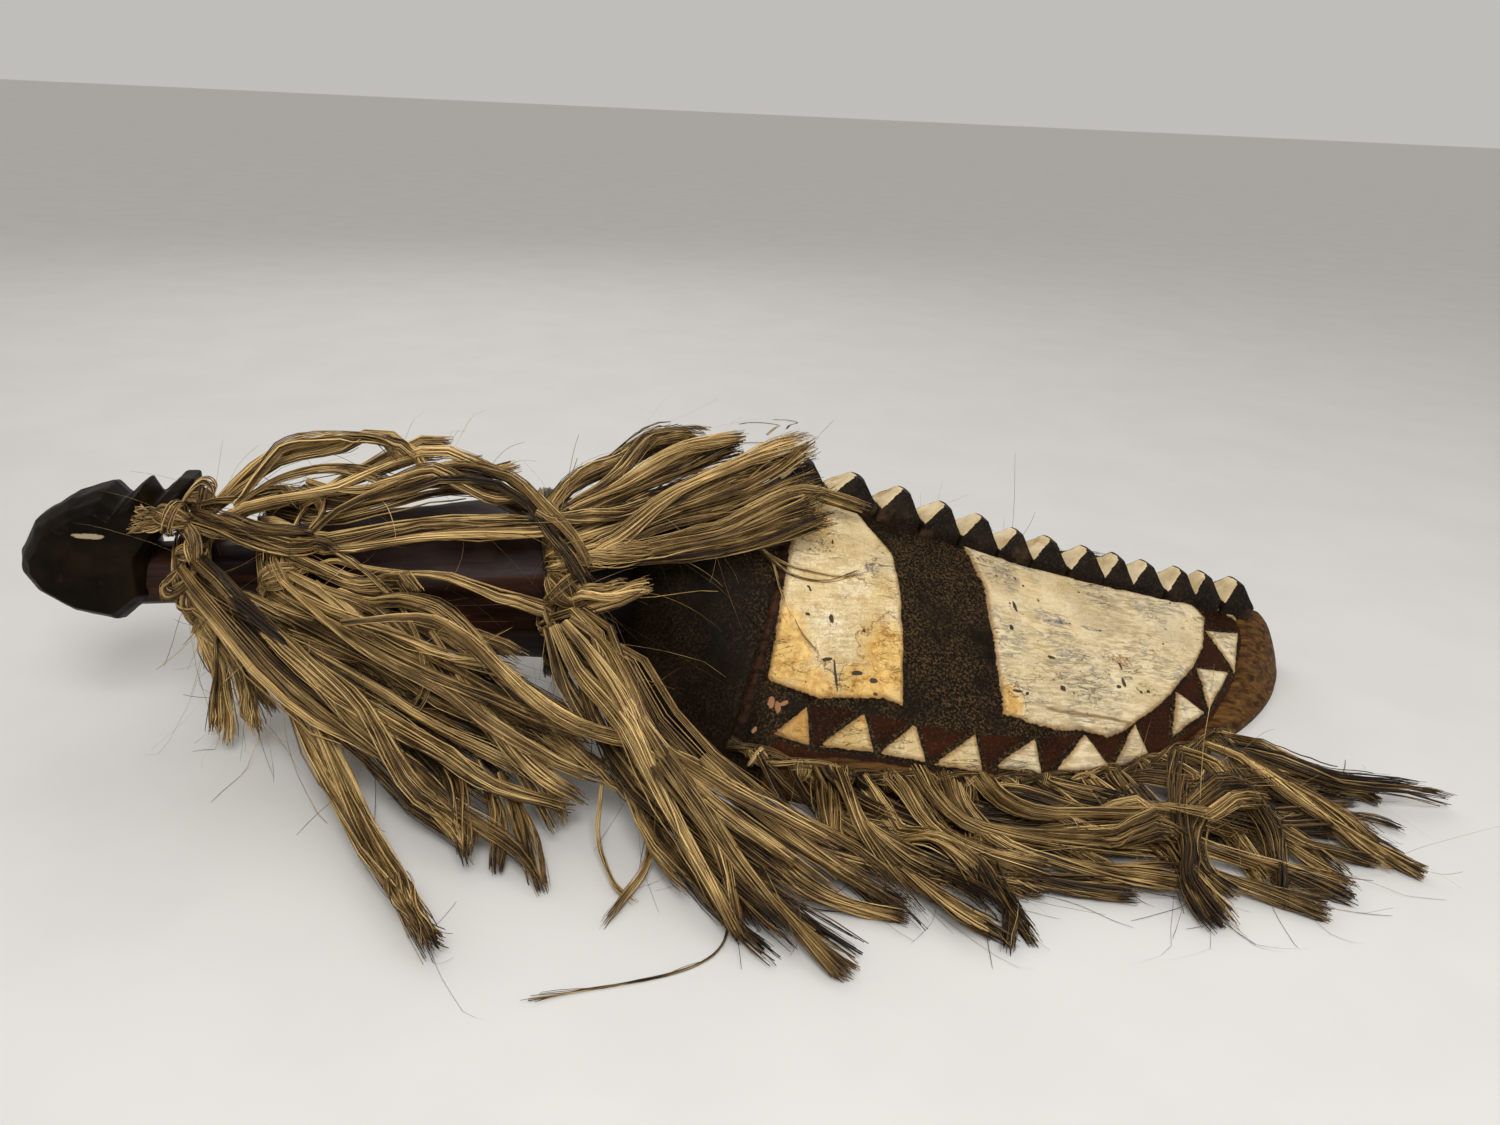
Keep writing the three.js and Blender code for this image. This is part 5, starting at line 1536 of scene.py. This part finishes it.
def knot(place, facing, size, seed, strips=26, age=0.15):
    # a rounded knot: a few crossing wraps about one axis and one strap over them
    rng = np.random.default_rng(seed)
    facing = unit(np.array(facing, float))
    first = unit(np.cross(facing, unit(rng.normal(0, 1, 3))))
    second = np.cross(facing, first)
    made = []
    for turns, lean, swap, girth in [(2.6, 0.75, False, 1.0), (1.1, 0.35, True, 1.12)]:
        t = np.linspace(0, 2 * math.pi * turns, int(15 * turns))[:, None]
        tip = np.linspace(-lean, lean, len(t))[:, None]
        a, b = (second, first) if swap else (first, second)
        out = a * np.cos(t) + (b * np.sin(tip) + facing * np.cos(tip)) * np.sin(t)
        side = b * np.cos(tip) - facing * np.sin(tip)
        path = np.array(place) + size * girth * out * (1, 1, 0.9)
        made.append(lock(path, side * size * 0.34, out * size * 0.22, strips, twist=0.5, fray=0.0, age=age))
    return made


def loop(ring, wider, lean, offset, sag, seed):
    # one slack turn round a ring, leaning along x and hanging lower on its underside
    x, z, core, cord = ring
    angle = np.linspace(0, 2 * math.pi, 40) + seed
    radius = core + cord + wider
    path = np.stack([x + offset + lean * np.cos(angle + 0.7 * seed), np.sin(angle) * radius,
                     z + np.cos(angle) * radius - sag * (np.cos(angle) < 0) * np.cos(angle) ** 2], -1)
    out = unit(path - (x + offset, 0, z))
    return lock(path, np.array([3.2, 0, 0]), out * 2.8, 24, twist=1.5, fray=0.0, age=0.1)


cordPaint = raffiaFinish("raffiaCord", (0.88, 0.61, 0.250), (0.235, 0.130, 0.037), (0.020, 0.0095, 0.0030))
cordStrips = stripTree("cordStrips", cordPaint)
knots = {
    "throat_cord": [(collarKnot, (-0.2, -1, 0.4), 9.5, 1), ((-779, -38, 128), (0.2, -1, 0.4), 7.5, 2),
                    ((-780, -43, 98), (0, -1, 0.1), 8, 3), ((-776, -18, 154), (0.2, -0.5, 1), 8, 12)],
    "shoulder_cord": [(topKnot, (0.1, -0.5, 1), 9, 3), (shoulderKnot, (0, -1, 0.3), 10.5, 4),
                      ((-736, -46, 86), (0, -1, -0.2), 9, 9)],
    "waist_cord": [(waistKnot, (0, -1, 0.4), 11.5, 5), (lowKnot, (0.2, -1, 0), 11, 6),
                   (upperKnot, (0, -0.7, 0.8), 10, 7),
                   ((-560, -62, 62), (0.2, -1, -0.3), 9, 8)],
}
straps = {  # short bands over the knots, each with its half width
    "throat_cord": [
        ([(-784, -36, 146), (-775, -43, 138), (-773, -47, 126), (-779, -48, 113), (-787, -47, 105),
          (-795, -44, 103),
          (-796, -42, 109), (-788, -44, 116), (-779, -45, 128), (-775, -43, 138)], 5.6),
        ([(-784, -34, 148), (-776, -44, 136), (-776, -46, 122), (-783, -46, 110), (-792, -44, 104)], 4.5),
        ([(-790, -26, 146), (-783, -24, 158), (-774, -16, 166), (-768, -14, 160), (-773, -20, 150)], 4.0),
        ([(-782, -34, 144), (-768, -40, 142), (-752, -43, 140), (-736, -46, 134)], 4.4),
        ([(-786, -36, 148), (-798, -38, 152), (-808, -40, 155)], 5.0),
        ([(-786, -36, 146), (-799, -40, 146), (-812, -43, 146)], 4.0)],
    "shoulder_cord": [([(-709, -24, 156), (-716, -34, 148), (-723, -46, 134), (-726, -54, 118)], 4.5),
                      ([(-704, -20, 160), (-701, -32, 158), (-704, -40, 148), (-712, -44, 140)], 5.0)],
    "waist_cord": [([(-555, -60, 132), (-560, -74, 122), (-556, -82, 110), (-562, -82, 96), (-560, -76, 84)],
                    4.5)],
}
slackTurns = {"throat_cord": [(4, -5, 2), (-4, -7, 2), (3, 4, 1)], "shoulder_cord": [(4, 2, 2)],
              "waist_cord": []}
for number, (name, ring) in enumerate(rings.items()):
    ties = [one for place in knots[name] for one in knot(*place)]
    slack = [loop(ring, 4 + k, *turn, k + number) for k, turn in enumerate(slackTurns[name])]
    led = [lock(resample(np.array(points, float), 24), np.array([0.5, 0, 0.86]) * half,
                np.array([0.3, -0.9, 0]) * half * 0.5,
                26, twist=0.7, fray=1.5 if len(points) == 3 else 0.2, age=0.1) for points,
           half in straps[name]]
    stripPiece(name.replace("_c", "C"), woundRing(ring, 60 + number) + slack + ties + led, [name], cordStrips)
for name, side in [("near_rim_cord", -1), ("far_rim_cord", 1)]:
    ties = []
    for k, x in enumerate(np.linspace(rimLine["firstTie"], -118, 14)):
        centre, normal = besideRim(np.array([x]), side, 6.0)
        ties += knot(centre[0] + (0, side * 2, -2), (0, side, 0.8), 6.2, 40 + k, 12, 0.3)
    stripPiece("nearRimCord" if side < 0 else "farRimCord", rimCordLocks(side) + ties, [name], cordStrips)
print("the cords are wound:", sum(stripCount), "faces in all the raffia")

# single strands that lie apart: on the floor, over the upper panel, and curled on the crown
apart = [  # points, number of strips, half width
    ([(-478, -262, 6), (-484, -276, 2), (-495, -286, 1), (-512, -293, 1), (-535, -297, 1), (-560, -300, 1),
      (-585, -303, 1)], 7, 1.0),
    ([(-478, -44, 152), (-454, -36, 142), (-436, -49, 133), (-418, -64, 119), (-406, -70, 114),
      (-385, -70, 111),
      (-359, -60, 115)], 10, 1.5),
    ([(-445, -41, 139), (-424, -57, 125), (-405, -66, 118), (-378, -67, 113), (-358, -62, 113)], 7, 1.2),
    ([(-440, -46, 136), (-424, -57, 125), (-420, -75, 108), (-412, -92, 91), (-400, -108, 76)], 7, 1.2),
    ([(-420, -8, 192), (-412, -6, 200), (-420, -4, 206), (-432, -4, 208), (-440, -6, 203)], 8, 1.2),
    ([(-406, -2, 194), (-398, 0, 203), (-404, 2, 209), (-415, 2, 210)], 6, 1.0),
    ([(-534, -140, 44), (-540, -173, 24), (-542, -195, 10), (-536, -224, 4), (-523, -242, 2)], 12, 1.5),
    ([(-524, -140, 46), (-517, -168, 28), (-511, -185, 14), (-516, -212, 7), (-530, -236, 4),
      (-543, -255, 2)], 26, 2.4),
]
loose = [lock(resample(np.array(points, float), 24), np.array([half, 0, 0]), np.array([0, 0, half * 0.5]),
              count, scale=0.8,
              fray=1.2, age=0.2) for points, count, half in apart]
stripPiece("looseStrands", loose, [], strips)
